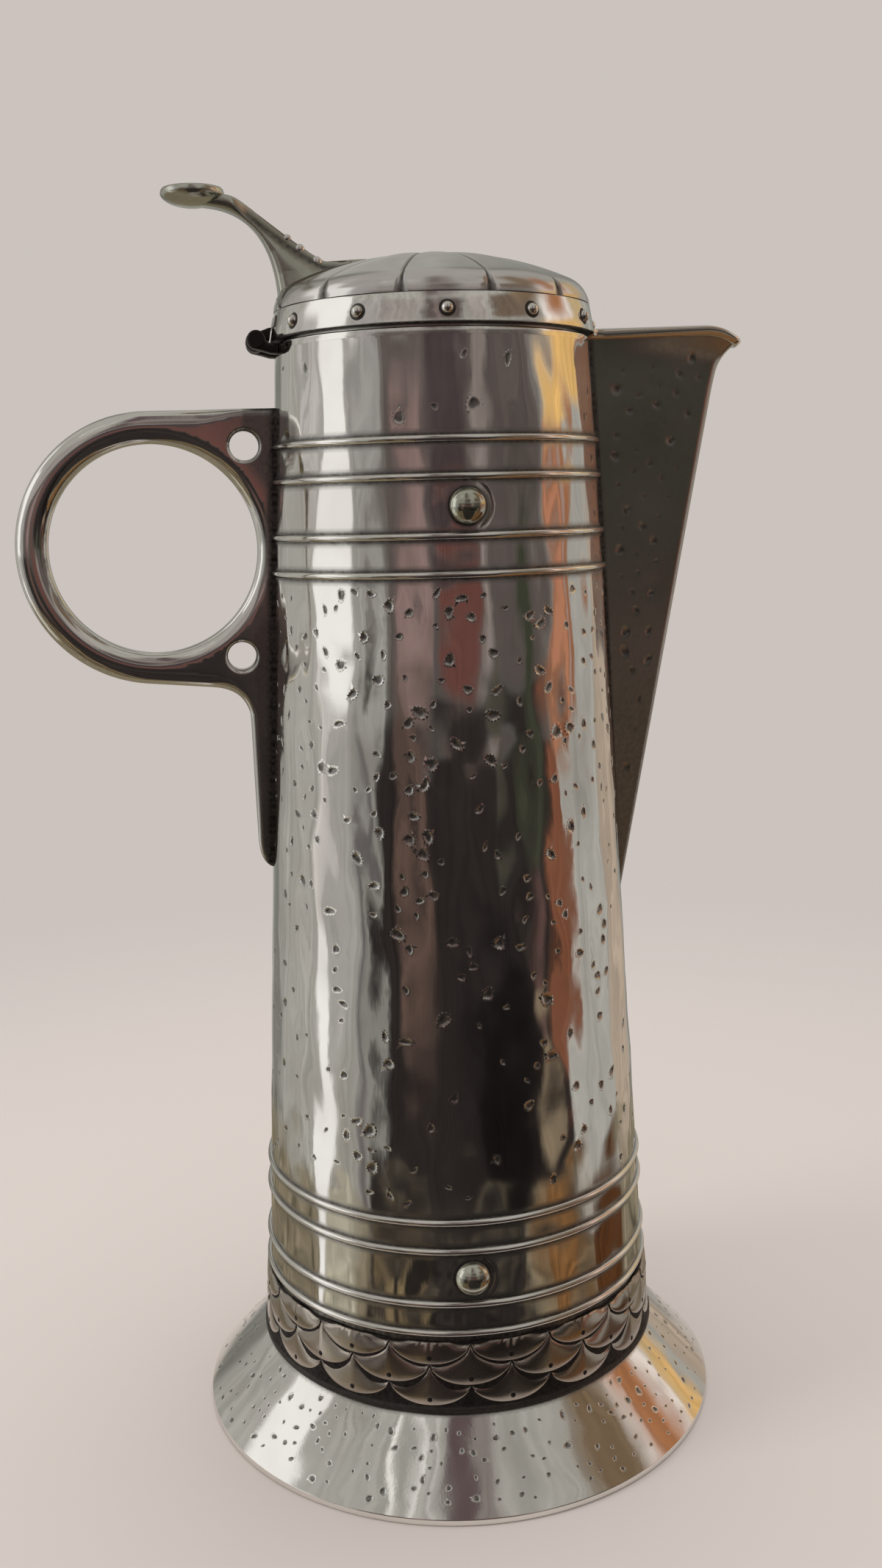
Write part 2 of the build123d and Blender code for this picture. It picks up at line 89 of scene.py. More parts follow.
def smoothstep(low, high, value):
    """0 below low, 1 above high, and a soft rise between them."""
    t = np.clip((np.asarray(value, float) - low) / (high - low), 0, 1)
    return t * t * (3 - 2 * t)


def ring_faces(base, around):
    """Quads between two rings of points that follow each other from a base number."""
    return [(base + k, base + (k + 1) % around, base + around + (k + 1) % around, base + around + k)
            for k in range(around)]


def tube_faces(places, n, closed):
    """Faces of a section of n points swept through some places, with end caps unless it closes."""
    faces = []
    for i in range(places if closed else places - 1):
        j = (i + 1) % places
        faces += [(i * n + k, j * n + k, j * n + (k + 1) % n, i * n + (k + 1) % n) for k in range(n)]
    if not closed:
        faces += [tuple(range(n)), tuple(reversed(range((places - 1) * n, places * n)))]
    return faces


def grid_faces(rows, columns, offset=0, flip=False):
    """Quads of a grid whose points are numbered row by row."""
    faces = []
    for i in range(rows - 1):
        for k in range(columns - 1):
            a = offset + i * columns + k
            face = (a, a + 1, a + columns + 1, a + columns)
            faces.append(tuple(reversed(face)) if flip else face)
    return faces


def sheet_faces(rows, columns, flip=False):
    """Faces of a closed sheet: one grid, a second grid turned round, and the rim between them."""
    total = rows * columns
    faces = grid_faces(rows, columns, 0, flip) + grid_faces(rows, columns, total, not flip)
    rim = list(range(columns)) + [i * columns + columns - 1 for i in range(1, rows)]
    rim += [(rows - 1) * columns + k for k in range(columns - 2, -1, -1)]
    rim += [i * columns for i in range(rows - 2, 0, -1)]
    for a, b in zip(rim, rim[1:] + rim[:1]):
        faces.append((a, b, b + total, a + total) if flip else (b, a, a + total, b + total))
    return faces


# %% [markdown]
# ## Camera
# The camera looks at the jug from the front, a little to the handle's side and from just under the
# lid's height, tipped down by about ten degrees and leaning slightly. It is set from three turns:
# round the upright, tip, and roll.

# %% Camera
CAMERA_PLACE = (-0.05753, -0.4036, 0.2516)
CAMERA_TURN, CAMERA_TIP, CAMERA_ROLL = -8.0, 79.44, -1.51   # degrees
lens = bpy.data.cameras.new("camera")
lens.sensor_width = 36
lens.lens = 34.51
lens.clip_start = 0.01
lens.clip_end = 20
camera = bpy.data.objects.new("camera", lens)
bpy.context.scene.collection.objects.link(camera)
turned = Matrix.Rotation(math.radians(CAMERA_TURN), 4, "Z")
turned = turned @ Matrix.Rotation(math.radians(CAMERA_TIP), 4, "X")
turned = turned @ Matrix.Rotation(math.radians(CAMERA_ROLL), 4, "Z")
camera.matrix_world = Matrix.Translation(CAMERA_PLACE) @ turned
bpy.context.scene.camera = camera
bpy.context.scene.view_settings.view_transform = "Standard"
print("camera at", [round(c, 3) for c in camera.location])

# %% [markdown]
# ## Studio
# Polished silver has almost no colour of its own: it shows the room. A studio for silver is built
# from pale and dark screens, so that bright strips and dark fields slide over the curves. The world
# does this here. What the camera sees directly is a plain pale backdrop, and what the metal sees
# is a ring of screens: each is a soft-edged patch of one colour, with a turn round the compass and
# a climb above or below the level of the eye.


# %% Node helpers
def node(tree, kind, values=None, **settings):
    """A new node. Each named input takes a value, or a link from another node's output."""
    made = tree.nodes.new(kind)
    for key, value in settings.items():
        setattr(made, key, value)
    for key, value in (values or {}).items():
        if isinstance(value, bpy.types.NodeSocket):
            tree.links.new(value, made.inputs[key])
        else:
            made.inputs[key].default_value = value
    return made


def math_node(tree, operation, *values, clamp=False):
    made = node(tree, "ShaderNodeMath", dict(enumerate(values)), operation=operation, use_clamp=clamp)
    return made.outputs[0]


def mix_node(tree, factor, a, b):
    """Two colours mixed: each is a tuple or another node's output."""
    a, b = ((*colour, 1) if isinstance(colour, tuple) else colour for colour in (a, b))
    return node(tree, "ShaderNodeMix", {0: factor, 6: a, 7: b}, data_type="RGBA").outputs[2]


def map_node(tree, value, low, high, to_low=0.0, to_high=1.0, kind="LINEAR"):
    """A value's range carried to another range."""
    made = node(tree, "ShaderNodeMapRange", {0: value, 1: low, 2: high, 3: to_low, 4: to_high},
                interpolation_type=kind)
    return made.outputs[0]


# %% Screens round the jug
BACKDROP = (0.60, 0.545, 0.515)
ROOM = (0.43, 0.42, 0.39)
WHITE = (1.0, 0.99, 0.98)
MATT_SIGHT = (0.80, 0.78, 0.76)     # what lights matt things, such as the floor
# name, turn from and to, climb from and to (degrees), colour, softness of the sides and of the ends.
# A turn is counted from the front towards the spout. Later screens stand before earlier ones.
screens = [
    ("dim corner behind", -168, -146, -60, 60, (0.22, 0.22, 0.20), 6, 10),
    ("dim corner right", 148, 166, -60, 60, (0.24, 0.24, 0.22), 6, 10),
    ("cream wall", 114, 146, -30, 2, (0.47, 0.38, 0.30), 4, 2),
    ("grey wall high", -70, -44, 6, 32, (0.40, 0.38, 0.37), 4, 1.5),
    ("room at eye level", -50, 72, -2, 15, (0.115, 0.095, 0.090), 7, 1.5),
    ("grey wall", -70, -52, -2, 10, (0.38, 0.37, 0.36), 5, 1.5),
    ("dark room", -55, 72, -30, -1.5, (0.026, 0.021, 0.020), 3, 2),
    ("black floor of the room", 5, 44, -30, -12, (0.008, 0.006, 0.006), 8, 3),
    ("dim side of the room", -70, -58, -30, -3, (0.15, 0.135, 0.135), 4, 1.5),
    ("olive wall", 45, 58, -9, 5, (0.050, 0.054, 0.036), 3, 2),
    ("rosy wall", 47, 56, -15, -10, (0.105, 0.060, 0.055), 3, 1.5),
    ("shade above the bricks", -14, 12, 5, 15, (0.065, 0.048, 0.050), 4, 1),
    ("bricks", -8, 17, -1.5, 4.6, (0.150, 0.060, 0.050), 3, 1.5),
    ("rosy curtain", -31, -18, -1.5, 10, (0.30, 0.205, 0.195), 3, 1.5),
    ("foot of the curtain", -34, -21, -15, -1, (0.115, 0.075, 0.062), 3, 2.5),
    ("door frame", 18, 28, -1, 14, (0.28, 0.235, 0.22), 2.5, 1.5),
    ("foot of the frame", 25, 33, -7, -1, (0.075, 0.070, 0.052), 2, 1.5),
    ("foot of the cupboard", 62, 76, -17, -3, (0.25, 0.098, 0.055), 2.5, 2),
    ("orange cupboard", 72, 98, -5, 7, (0.34, 0.145, 0.072), 3, 2),
    ("rosy gap in the cupboard", 84, 89, -5, 7, (0.40, 0.27, 0.23), 1.5, 2),
    ("its bright edge", 74, 81, -4, 7, (0.50, 0.22, 0.13), 2, 1.5),
    ("gold light", 78, 124, 6.5, 16, (0.82, 0.50, 0.18), 6, 1),
    ("low gold patch", 48, 59, -19, -14, (0.24, 0.185, 0.125), 3, 1.6),
    ("window glow", -116, -99, 4, 60, (0.56, 0.54, 0.52), 3, 3),
    ("window sill", -87, -66, -17, -1.5, (0.43, 0.42, 0.40), 3, 2),
    ("window blind", -98, -86, -16, 0, (0.66, 0.63, 0.61), 2, 2),
    ("window foot", -84, -68, -40, -15, (0.36, 0.35, 0.32), 3, 2),
    ("table", -190, 190, -95, -21.5, (0.23, 0.195, 0.135), 3, 1.2),
    ("glow on the table", -87, -72, -40, -21, (0.46, 0.43, 0.34), 3, 1),
    ("shadow on the table", -60, 40, -95, -21.5, (0.028, 0.023, 0.021), 2, 1),
    ("gold streak left", -55, -46, -95, -22.5, (0.22, 0.165, 0.095), 1.5, 0.7),
    ("gold streak middle", -40, -30, -95, -23, (0.20, 0.150, 0.085), 1.5, 0.7),
    ("amber table", 44, 72, -95, -21.5, (0.185, 0.090, 0.034), 3, 1),
    ("dark amber table", 76, 112, -95, -21.5, (0.085, 0.034, 0.013), 4, 1),
    ("shelf left", -46, -17, 17, 34, (0.35, 0.32, 0.30), 3, 2),
    ("shelf shade", -14, 15, 17, 34, (0.110, 0.085, 0.080), 3, 2),
    ("shelf glint", -6, -2, 17, 34, (0.24, 0.19, 0.18), 1.5, 2),
    ("shelf pale", 19, 32, 17, 34, (0.37, 0.33, 0.31), 3, 2),
    ("shelf brown", 37, 75, 17, 34, (0.17, 0.125, 0.095), 3, 2),
    ("lamp", 78, 112, 14, 34, (1.0, 0.93, 0.89), 2, 1.5),
    ("lamp rim", 112, 132, 12, 34, (0.60, 0.45, 0.25), 3, 2),
    ("ceiling stripe one", -47, -43, 47, 55, (0.85, 0.83, 0.80), 1.2, 2),
    ("ceiling stripe two", -37, -34, 47, 56, (0.80, 0.78, 0.76), 1.2, 2),
    ("beam", -15, -1, 36, 70, (0.12, 0.085, 0.088), 3.5, 4),
    ("beam side", -1, 12, 36, 70, (0.25, 0.215, 0.205), 4, 4),
    ("ceiling stripe three", -27, -24, 47, 57, (0.75, 0.72, 0.70), 1.2, 2),
    ("brown cornice", 58, 84, 28, 60, (0.21, 0.145, 0.088), 5, 4),
    ("orange cornice", 87, 106, 16, 46, (0.42, 0.18, 0.080), 4, 6),
]
# the windows are white, with the same numbers but no colour
windows = [
    ("window", -97, -71, -2.5, 34, 1.6, 1),
    ("foot of the window", -97, -87, -24, -13, 1.6, 2),
    ("window on the table", -97, -89, -40, -20, 1.5, 1),
    ("skylight", -114, -93, 20, 46, 2, 4),
]

world = bpy.data.worlds.new("studio")
bpy.context.scene.world = world
world.use_nodes = True
sky = world.node_tree
sky.nodes.clear()
ray = node(sky, "ShaderNodeSeparateXYZ", {0: node(sky, "ShaderNodeTexCoord").outputs["Generated"]})
degrees = 180 / math.pi
turn = math_node(sky, "ARCTAN2", ray.outputs[0], math_node(sky, "MULTIPLY", ray.outputs[1], -1.0))
turn = math_node(sky, "MULTIPLY", turn, degrees)
climb = math_node(sky, "MULTIPLY", math_node(sky, "ARCSINE", ray.outputs[2]), degrees)


def sky_noise(turn_scale, climb_scale, low, high):
    """Noise over turn and climb, so that it can run in upright streaks."""
    place = node(sky, "ShaderNodeCombineXYZ", {0: math_node(sky, "MULTIPLY", turn, turn_scale),
                                               1: math_node(sky, "MULTIPLY", climb, climb_scale)})
    made = node(sky, "ShaderNodeTexNoise", {"Vector": place.outputs[0], "Scale": 1.0, "Detail": 3})
    return map_node(sky, made.outputs["Fac"], 0.3, 0.7, low, high)


# the sides of the screens waver a little, by up to 2.6 degrees
turn = math_node(sky, "ADD", turn, sky_noise(0.10, 0.16, -2.6, 2.6))


def edge_mask(value, at, soft, rising):
    """0 on one side of an edge and 1 on the other."""
    low, high = (0.0, 1.0) if rising else (1.0, 0.0)
    return map_node(sky, value, at - soft, at + soft, low, high, "SMOOTHSTEP")


def with_screen(shown, left, right, low, high, colour, side_soft, end_soft):
    """The world so far with one more screen in front of it."""
    mask = math_node(sky, "MULTIPLY", edge_mask(turn, left, side_soft, True),
                     edge_mask(turn, right, side_soft, False))
    mask = math_node(sky, "MULTIPLY", mask, edge_mask(climb, low, end_soft, True))
    mask = math_node(sky, "MULTIPLY", mask, edge_mask(climb, high, end_soft, False))
    return mix_node(sky, mask, shown, colour)


SIDE_SOFTER = 1.4
shown = ROOM
for name, *edges, colour, side_soft, end_soft in screens:
    shown = with_screen(shown, *edges, colour, SIDE_SOFTER * side_soft, end_soft)
# a fine grain over all of it, coarser on the table; the windows stay clean and come last
on_table = math_node(sky, "MULTIPLY", edge_mask(climb, -20.5, 1.0, False), 0.85)
grain = node(sky, "ShaderNodeMix", {0: on_table, 2: sky_noise(0.40, 0.05, 0.72, 1.22),
                                    3: sky_noise(0.16, 0.55, 0.25, 1.75)}, data_type="FLOAT")
shown = node(sky, "ShaderNodeVectorMath", {0: shown, "Scale": grain.outputs[0]}, operation="SCALE").outputs[0]
for name, *edges, side_soft, end_soft in windows:
    shown = with_screen(shown, *edges, WHITE, side_soft, end_soft)
light = node(sky, "ShaderNodeLightPath")
seen = mix_node(sky, light.outputs["Is Glossy Ray"], MATT_SIGHT, shown)
seen = mix_node(sky, light.outputs["Is Camera Ray"], seen, BACKDROP)
background = node(sky, "ShaderNodeBackground", {"Color": seen, "Strength": 1.0})
node(sky, "ShaderNodeOutputWorld", {0: background.outputs[0]})
print("screens:", len(screens), "windows:", len(windows))

# %% [markdown]
# ## Floor
# The jug stands on a plain pale floor. A disc that turns see-through towards its edge leaves no
# horizon: the floor melts into the backdrop, and keeps the soft shadow under the foot.

# %% Floor
FLOOR_RADIUS, FLOOR_RINGS, AROUND = 900.0, 24, 64
rings = np.linspace(0, FLOOR_RADIUS, FLOOR_RINGS + 1)[1:]
floor_points = [(0, 0, 0)] + [(r * math.cos(a), r * math.sin(a), 0) for r in rings
                              for a in np.linspace(0, 2 * math.pi, AROUND + 1)[:-1]]
floor_faces = [(0, 1 + k, 1 + (k + 1) % AROUND) for k in range(AROUND)]
for number in range(FLOOR_RINGS - 1):
    floor_faces += [tuple(reversed(face)) for face in ring_faces(1 + AROUND * number, AROUND)]
floor_finish = bpy.data.materials.new("pale_floor")
floor_finish.use_nodes = True
tree = floor_finish.node_tree
tree.nodes.clear()
place = node(tree, "ShaderNodeTexCoord").outputs["Object"]
from_axis = node(tree, "ShaderNodeVectorMath", {0: place}, operation="LENGTH").outputs["Value"]
fade = map_node(tree, from_axis, 0.16, 0.60, kind="SMOOTHSTEP")
# the silver sees the pale floor only close to the foot, and the dark table screen beyond it
metal_fade = map_node(tree, from_axis, 0.074, 0.105, kind="SMOOTHSTEP")
glossy = node(tree, "ShaderNodeLightPath").outputs["Is Glossy Ray"]
see_through = math_node(tree, "MAXIMUM", math_node(tree, "MULTIPLY", metal_fade, glossy), fade)
pale = node(tree, "ShaderNodeBsdfDiffuse", {"Color": (0.62, 0.565, 0.535, 1)})
clear = node(tree, "ShaderNodeBsdfTransparent")
both = node(tree, "ShaderNodeMixShader", {0: see_through, 1: pale.outputs[0], 2: clear.outputs[0]})
node(tree, "ShaderNodeOutputMaterial", {0: both.outputs[0]})
floor = make_mesh("floor", floor_points, floor_faces, floor_finish, sharp=0)

# %% [markdown]
# Two soft lamps give the floor its shadow: a tall one from the left and a wide one from above.


# %% Lamps
def soft_lamp(name, place, aim, size, watts, colour):
    """A rectangular lamp that lights matt things and isn't mirrored in the silver."""
    lamp = bpy.data.lights.new(name, "AREA")
    lamp.shape = "RECTANGLE"
    lamp.size, lamp.size_y = size
    lamp.energy = watts
    lamp.color = colour
    held = bpy.data.objects.new(name, lamp)
    bpy.context.scene.collection.objects.link(held)
    held.location = place
    held.rotation_euler = (Vector(aim) - Vector(place)).to_track_quat("-Z", "Y").to_euler()
    held.visible_glossy = False


soft_lamp("window", (-1.3, -0.25, 0.75), (0, 0, 0.15), (0.5, 1.0), 7, (1.0, 0.98, 0.95))
soft_lamp("ceiling", (0.3, 0.35, 1.6), (0, 0, 0.1), (1.2, 1.2), 8, (1.0, 0.98, 0.96))

# %% [markdown]
# ## Silver
# Silver is a metal with a very slightly warm grey. Polished by hand it is never a perfect
# mirror: it has fine scratches in all directions, patches that are a little duller, and a warm grey
# bloom where the cloth doesn't reach. The recesses are left dark with sulphide, and the same dark
# is painted as shade at some joins and edges. One function makes every silver finish, with its own
# roughness, scratches and amount of bloom.


# %% Silver finishes
def silver(name, colour, dark, roughness, scratch, bloom, dull=0.10):
    """A silver finish: its colour, its dark for recesses and painted shade, and how rough, scratched, cloudy
    and dull it is.
    """
    finish = bpy.data.materials.new(name)
    finish.use_nodes = True
    tree = finish.node_tree
    shader = tree.nodes["Principled BSDF"]
    shader.inputs["Metallic"].default_value = 1.0
    place = node(tree, "ShaderNodeTexCoord").outputs["Object"]

    def noise(scale, detail=3, stretch=None):
        source = place
        if stretch:
            source = node(tree, "ShaderNodeMapping", {0: place, "Scale": stretch}).outputs[0]
        made = node(tree, "ShaderNodeTexNoise", {"Vector": source, "Scale": scale, "Detail": detail})
        return made.outputs["Fac"]

    cloudy = map_node(tree, noise(38, 4), 0.42, 0.72, 0.0, bloom)
    patina_and_painted_shade = node(tree, "ShaderNodeAttribute", attribute_name="patina_and_painted_shade").outputs["Fac"]
    ragged = math_node(tree, "MULTIPLY_ADD", noise(900, 2), 0.5, 0.75)
    # how dark the silver is made: sulphide patina in hollows, and painted shade where the attribute carries
    # it
    tarnish_and_painted_shade = math_node(tree, "MULTIPLY", patina_and_painted_shade, ragged, clamp=True)
    warm = tuple(c * 0.62 * w for c, w in zip(colour, (1.0, 0.94, 0.86)))
    tint = mix_node(tree, tarnish_and_painted_shade, mix_node(tree, cloudy, colour, warm), dark)
    tree.links.new(tint, shader.inputs["Base Color"])
    spread = map_node(tree, noise(55, 5), 0.3, 0.75, roughness, roughness + dull)
    # a patina of -1 marks the inside of the sheet, which is left satin
    inside_mark = math_node(tree, "MULTIPLY", patina_and_painted_shade, -1.0, clamp=True)
    satin = math_node(tree, "MULTIPLY_ADD", inside_mark, 0.42, spread)
    rough = math_node(tree, "MULTIPLY_ADD", tarnish_and_painted_shade, 0.32, satin, clamp=True)
    tree.links.new(rough, shader.inputs["Roughness"])
    upright, level = noise(1500, 2, (1.0, 1.0, 0.12)), noise(1700, 2, (0.15, 0.15, 1.0))
    scratches = math_node(tree, "MULTIPLY_ADD", level, 0.15, upright)
    bump = node(tree, "ShaderNodeBump", {"Strength": scratch, "Distance": 0.00002, "Height": scratches})
    tree.links.new(bump.outputs[0], shader.inputs["Normal"])
    return finish


# the dark of sulphide in recesses, which also serves as painted shade
SULPHIDE_AND_PAINTED_SHADE = (0.035, 0.030, 0.030)
hammered_silver = silver("hammered_silver", (0.83, 0.81, 0.77), SULPHIDE_AND_PAINTED_SHADE, 0.045, 0.22, 0.30, 0.07)
polished_silver = silver("polished_silver", (0.86, 0.84, 0.80), SULPHIDE_AND_PAINTED_SHADE, 0.055, 0.30, 0.25, 0.08)
# dark silver: oxidised on the scale band, and painted shade in the rings round the studs
oxidised_silver = silver("oxidised_silver", (0.22, 0.20, 0.185), SULPHIDE_AND_PAINTED_SHADE, 0.26, 0.60, 0.60, 0.20)
plain_silver = silver("plain_silver", (0.74, 0.72, 0.68), SULPHIDE_AND_PAINTED_SHADE, 0.20, 0.40, 0.50, 0.15)
dome_silver = silver("dome_silver", (0.76, 0.735, 0.71), SULPHIDE_AND_PAINTED_SHADE, 0.15, 0.25, 0.30, 0.10)
hinge_black = silver("hinge_black", (0.055, 0.048, 0.046), (0.012, 0.010, 0.010), 0.42, 0.60, 0.50, 0.15)
lever_silver = silver("lever_silver", (0.60, 0.60, 0.53), SULPHIDE_AND_PAINTED_SHADE, 0.15, 0.40, 0.60, 0.12)
boss_silver = silver("boss_silver", (0.62, 0.63, 0.54), SULPHIDE_AND_PAINTED_SHADE, 0.12, 0.40, 0.60, 0.12)
# darker and browner than the other silvers: a painted reflection of the brown table
band_silver_painted_reflection = silver("band_silver_painted_reflection", (0.60, 0.54, 0.48), (0.020, 0.017, 0.016), 0.10, 0.5, 0.7, 0.12)
print("finishes:", [m.name for m in bpy.data.materials])

# %% [markdown]
# ## Shape of the body and the spout
# The body is a straight cone. The spout's level sections are narrow V shapes with a rounded nose,
# that grow from nothing at the apex to the pouring lip. The same few lengths as in the CAD model
# give every point on them, so the silver fits the frame exactly.

# %% Body and spout lengths
BODY_BOTTOM, BODY_TOP = 20.6, 292.8        # heights
BOTTOM_RADIUS, TOP_RADIUS, WALL = 54.7, 41.05, 1.2
WIRE_BOTTOM = 291.0
APEX, NECK, NECK_REACH = 138.0, 280.0, 75.55
NOSE_RADIUS, NOSE_GROWTH = 1.9, 1.3        # at the apex, and what it gains up to the mouth
FLANK_ROOT = 7.0                           # how far inside the body the flanks are drawn from
FLANK_ANGLE = math.radians(17.4)
LIP_CURL = ((0.0, 0.0), (4.0, 0.15), (6.5, 0.5), (8.5, 1.4), (10.5, 3.0), (12.5, 5.2), (17.0, 10.0))
LIP_START, LIP_BEND, LIP_RISE = (30.8, 294.0), 71.45, 1.9
LIP_CENTRE, LIP_RADIUS, LIP_END = (72.316, 277.37), 18.55, 88.0
UPPER_RINGS = (266.9, 258.0, 243.9, 234.7)
LOWER_RINGS = (71.5, 63.8, 49.6, 41.8)
UPPER_BOSS, LOWER_BOSS = (250.95, 1.8), (56.7, -3.6)   # height, degrees round from the front
LID_ROOM = 42.65                           # the lid's collar swings inside this radius


def body_radius(height):
    share = (height - BODY_BOTTOM) / (BODY_TOP - BODY_BOTTOM)
    return BOTTOM_RADIUS + share * (TOP_RADIUS - BOTTOM_RADIUS)


def keel(height):
    share = (height - APEX) / (NECK - APEX)
    return body_radius(APEX) + share * (NECK_REACH - body_radius(APEX))


def curl(height):
    return float(np.interp(height - NECK, *zip(*LIP_CURL)))


def lip_height(x):
    """Height of the pouring edge over the axis: a straight rise, then an arc down to the tip."""
    if x <= LIP_BEND:
        return LIP_START[1] + (x - LIP_START[0]) * LIP_RISE / (LIP_BEND - LIP_START[0])
    return LIP_CENTRE[1] + math.sqrt(max(LIP_RADIUS**2 - (min(x, LIP_END) - LIP_CENTRE[0]) ** 2, 0.0))


def half_section(height, grow):
    """The half outline on the +Y side, from inside the cone to the nose.

    It gives a function that turns a length along the outline into a point, and the whole length.
    """
    radius = NOSE_RADIUS + (height - APEX) / (BODY_TOP - APEX) * NOSE_GROWTH
    centre = keel(height) - radius
    back = body_radius(height) - FLANK_ROOT
    half = (centre - back) * math.tan(FLANK_ANGLE) + radius / math.cos(FLANK_ANGLE)
    centre += curl(height)
    heading = math.atan2(-half, centre - back) + math.asin(radius / math.hypot(centre - back, half))
    out = (-math.sin(heading), math.cos(heading))
    nose = radius + grow
    start = np.array((back + grow * out[0], half + grow * out[1]))
    end = np.array((centre + nose * out[0], nose * out[1]))
    straight = float(np.hypot(*(end - start)))
    sweep = math.atan2(out[1], out[0])

    def at(length):
        if length <= straight:
            return start + (end - start) * (length / straight)
        left = sweep - (length - straight) / nose
        return np.array((centre + nose * math.cos(left), nose * math.sin(left)))

    return at, straight + nose * sweep


def outside_length(height, grow, radius):
    """The half outline's length at which it comes out of a circle round the axis."""
    at, total = half_section(height, grow)
    low, high = 0.0, total
    for _ in range(40):
        middle = (low + high) / 2
        if np.hypot(*at(middle)) < radius:
            low = middle
        else:
            high = middle
    return low


def spout_point(share, height, grow, sunk):
    """A point on the spout. Its share is 0 at the +Y root, 0.5 on the keel and 1 at the other root."""
    at, total = half_section(height, grow)
    root = outside_length(height, grow, body_radius(height) - sunk)
    along = 1 - abs(2 * share - 1)
    x, y = at(root + (total - root) * (1 - (1 - along) ** 1.25))
    return (x, y if share <= 0.5 else -y, height)


def lip_point(share, drop, grow, sunk):
    """Height of the point on the spout that is a drop below the pouring edge."""
    height = 292.0
    for _ in range(40):
        x = spout_point(share, height, grow, sunk)[0]
        height += 0.6 * (lip_height(x) - drop - height)
    return height


print("spout reach at the lip:", round(keel(NECK) + curl(291.9), 2), "mm")

# %% [markdown]
# ## Sheet metal with hammer pits
# The body was raised with a hammer, and small crisp pits are left all over it. A bump texture would
# only fake them. Here each pit is real: its rings of points are added to a plain lattice, and a
# Delaunay triangulation ties them together in the flat development of the cone. The same formula
# then gives the depth and the slope at each point, so the shading stays smooth between the pits.


# %% Pits and the lattice
def scatter_pits(seed, count, across, up, gap, allowed, sizes=(0.55, 1.15), depths=(0.18, 0.32)):
    """Pits thrown at random, with a fixed seed, no nearer to each other than a gap."""
    rng = np.random.default_rng(seed)
    pits = []
    tries = count * 60
    for _ in range(tries):
        if len(pits) >= count:
            break
        s, v = rng.uniform(*across), rng.uniform(*up)
        if rng.random() > allowed(s, v) or any(math.hypot(s - p[0], v - p[1]) < gap for p in pits):
            continue
        size = sizes[0] + (sizes[1] - sizes[0]) * rng.random() ** 1.6
        pits.append((s, v, size, size * rng.uniform(0.55, 0.95), rng.uniform(0, math.pi),
                     rng.uniform(*depths) * size, rng.uniform(0, 6.28), rng.uniform(0, 6.28)))
    return pits


def pit_rim(pit, angle):
    """How far an uneven pit reaches in a direction, as a share of its size."""
    return 1 + 0.12 * np.sin(2 * angle + pit[6]) + 0.08 * np.sin(3 * angle + pit[7])


def pit_points(pit, scales=(0.3, 0.6, 0.8, 0.94, 1.07, 1.2, 1.45), around=12):
    """The pit's middle and its rings of points."""
    s, v, a, b, lean = pit[:5]
    points = [(s, v)]
    for number, scale in enumerate(scales):
        for k in range(around):
            angle = (k + 0.5 * (number % 2)) * 2 * math.pi / around
            reach = scale * pit_rim(pit, angle)
            p, q = a * reach * math.cos(angle), b * reach * math.sin(angle)
            points.append((s + p * math.cos(lean) - q * math.sin(lean),
                           v + p * math.sin(lean) + q * math.cos(lean)))
    return points


def pits_relief(s, v, pits):
    """Lift and patina of the pits at some points."""
    lift, patina_and_painted_shade = np.zeros_like(s), np.zeros_like(s)
    for pit in pits:
        middle_s, middle_v, size, across, lean, depth, deep_side = pit[:7]
        ds, dv = s - middle_s, v - middle_v
        near = (np.abs(ds) < 2.2 * size) & (np.abs(dv) < 2.2 * size)
        if not near.any():
            continue
        p = (ds[near] * math.cos(lean) + dv[near] * math.sin(lean)) / size
        q = (-ds[near] * math.sin(lean) + dv[near] * math.cos(lean)) / across
        reach = np.hypot(p, q) / pit_rim(pit, np.arctan2(q, p))
        deep = 0.5 + 0.5 * np.clip(p * math.cos(deep_side) + q * math.sin(deep_side), -1, 1)
        hollow = 1 - smoothstep(0.35, 1.0, reach)
        lift[near] += -depth * hollow * (0.55 + 0.45 * deep)
        lift[near] += 0.10 * depth * np.exp(-((reach - 1.14) / 0.10) ** 2)
        patina_and_painted_shade[near] = np.maximum(patina_and_painted_shade[near], (1 - smoothstep(0.60, 0.98, reach)) * (0.45 + 0.50 * deep))
    return lift, patina_and_painted_shade


def hand_waves(seed, period, count, waves, depth):
    """Slow unevenness of hand-planished sheet: a few sine waves that close round the jug."""
    rng = np.random.default_rng(seed)
    terms = []
    for _ in range(count):
        length = rng.uniform(*waves)
        lean = rng.uniform(0, math.pi)
        turns = round(period / length * math.cos(lean))
        terms.append((turns * 2 * math.pi / period, 2 * math.pi / length * math.sin(lean),
                      rng.uniform(0, 6.28), depth * length / waves[1] * rng.uniform(0.5, 1.0)))

    def lift(s, v):
        return sum(size * np.sin(ks * s + kv * v + phase) for ks, kv, phase, size in terms)

    return lift


def upright_waves(seed, period, count, waves, depth):
    """The same, for the long marks of the planishing hammer that run up the body."""
    rng = np.random.default_rng(seed)
    terms = []
    for _ in range(count):
        turns = round(period / rng.uniform(*waves))
        size = depth * (period / turns / waves[1]) ** 1.3
        terms.append((turns * 2 * math.pi / period, 2 * math.pi / rng.uniform(30.0, 140.0),
                      rng.uniform(0, 6.28), rng.uniform(0, 6.28), size * rng.uniform(0.5, 1.0)))

    def lift(s, v):
        return sum(size * np.sin(ks * s + phase + 1.3 * np.sin(kv * v + sway))
                   for ks, kv, phase, sway, size in terms)

    return lift


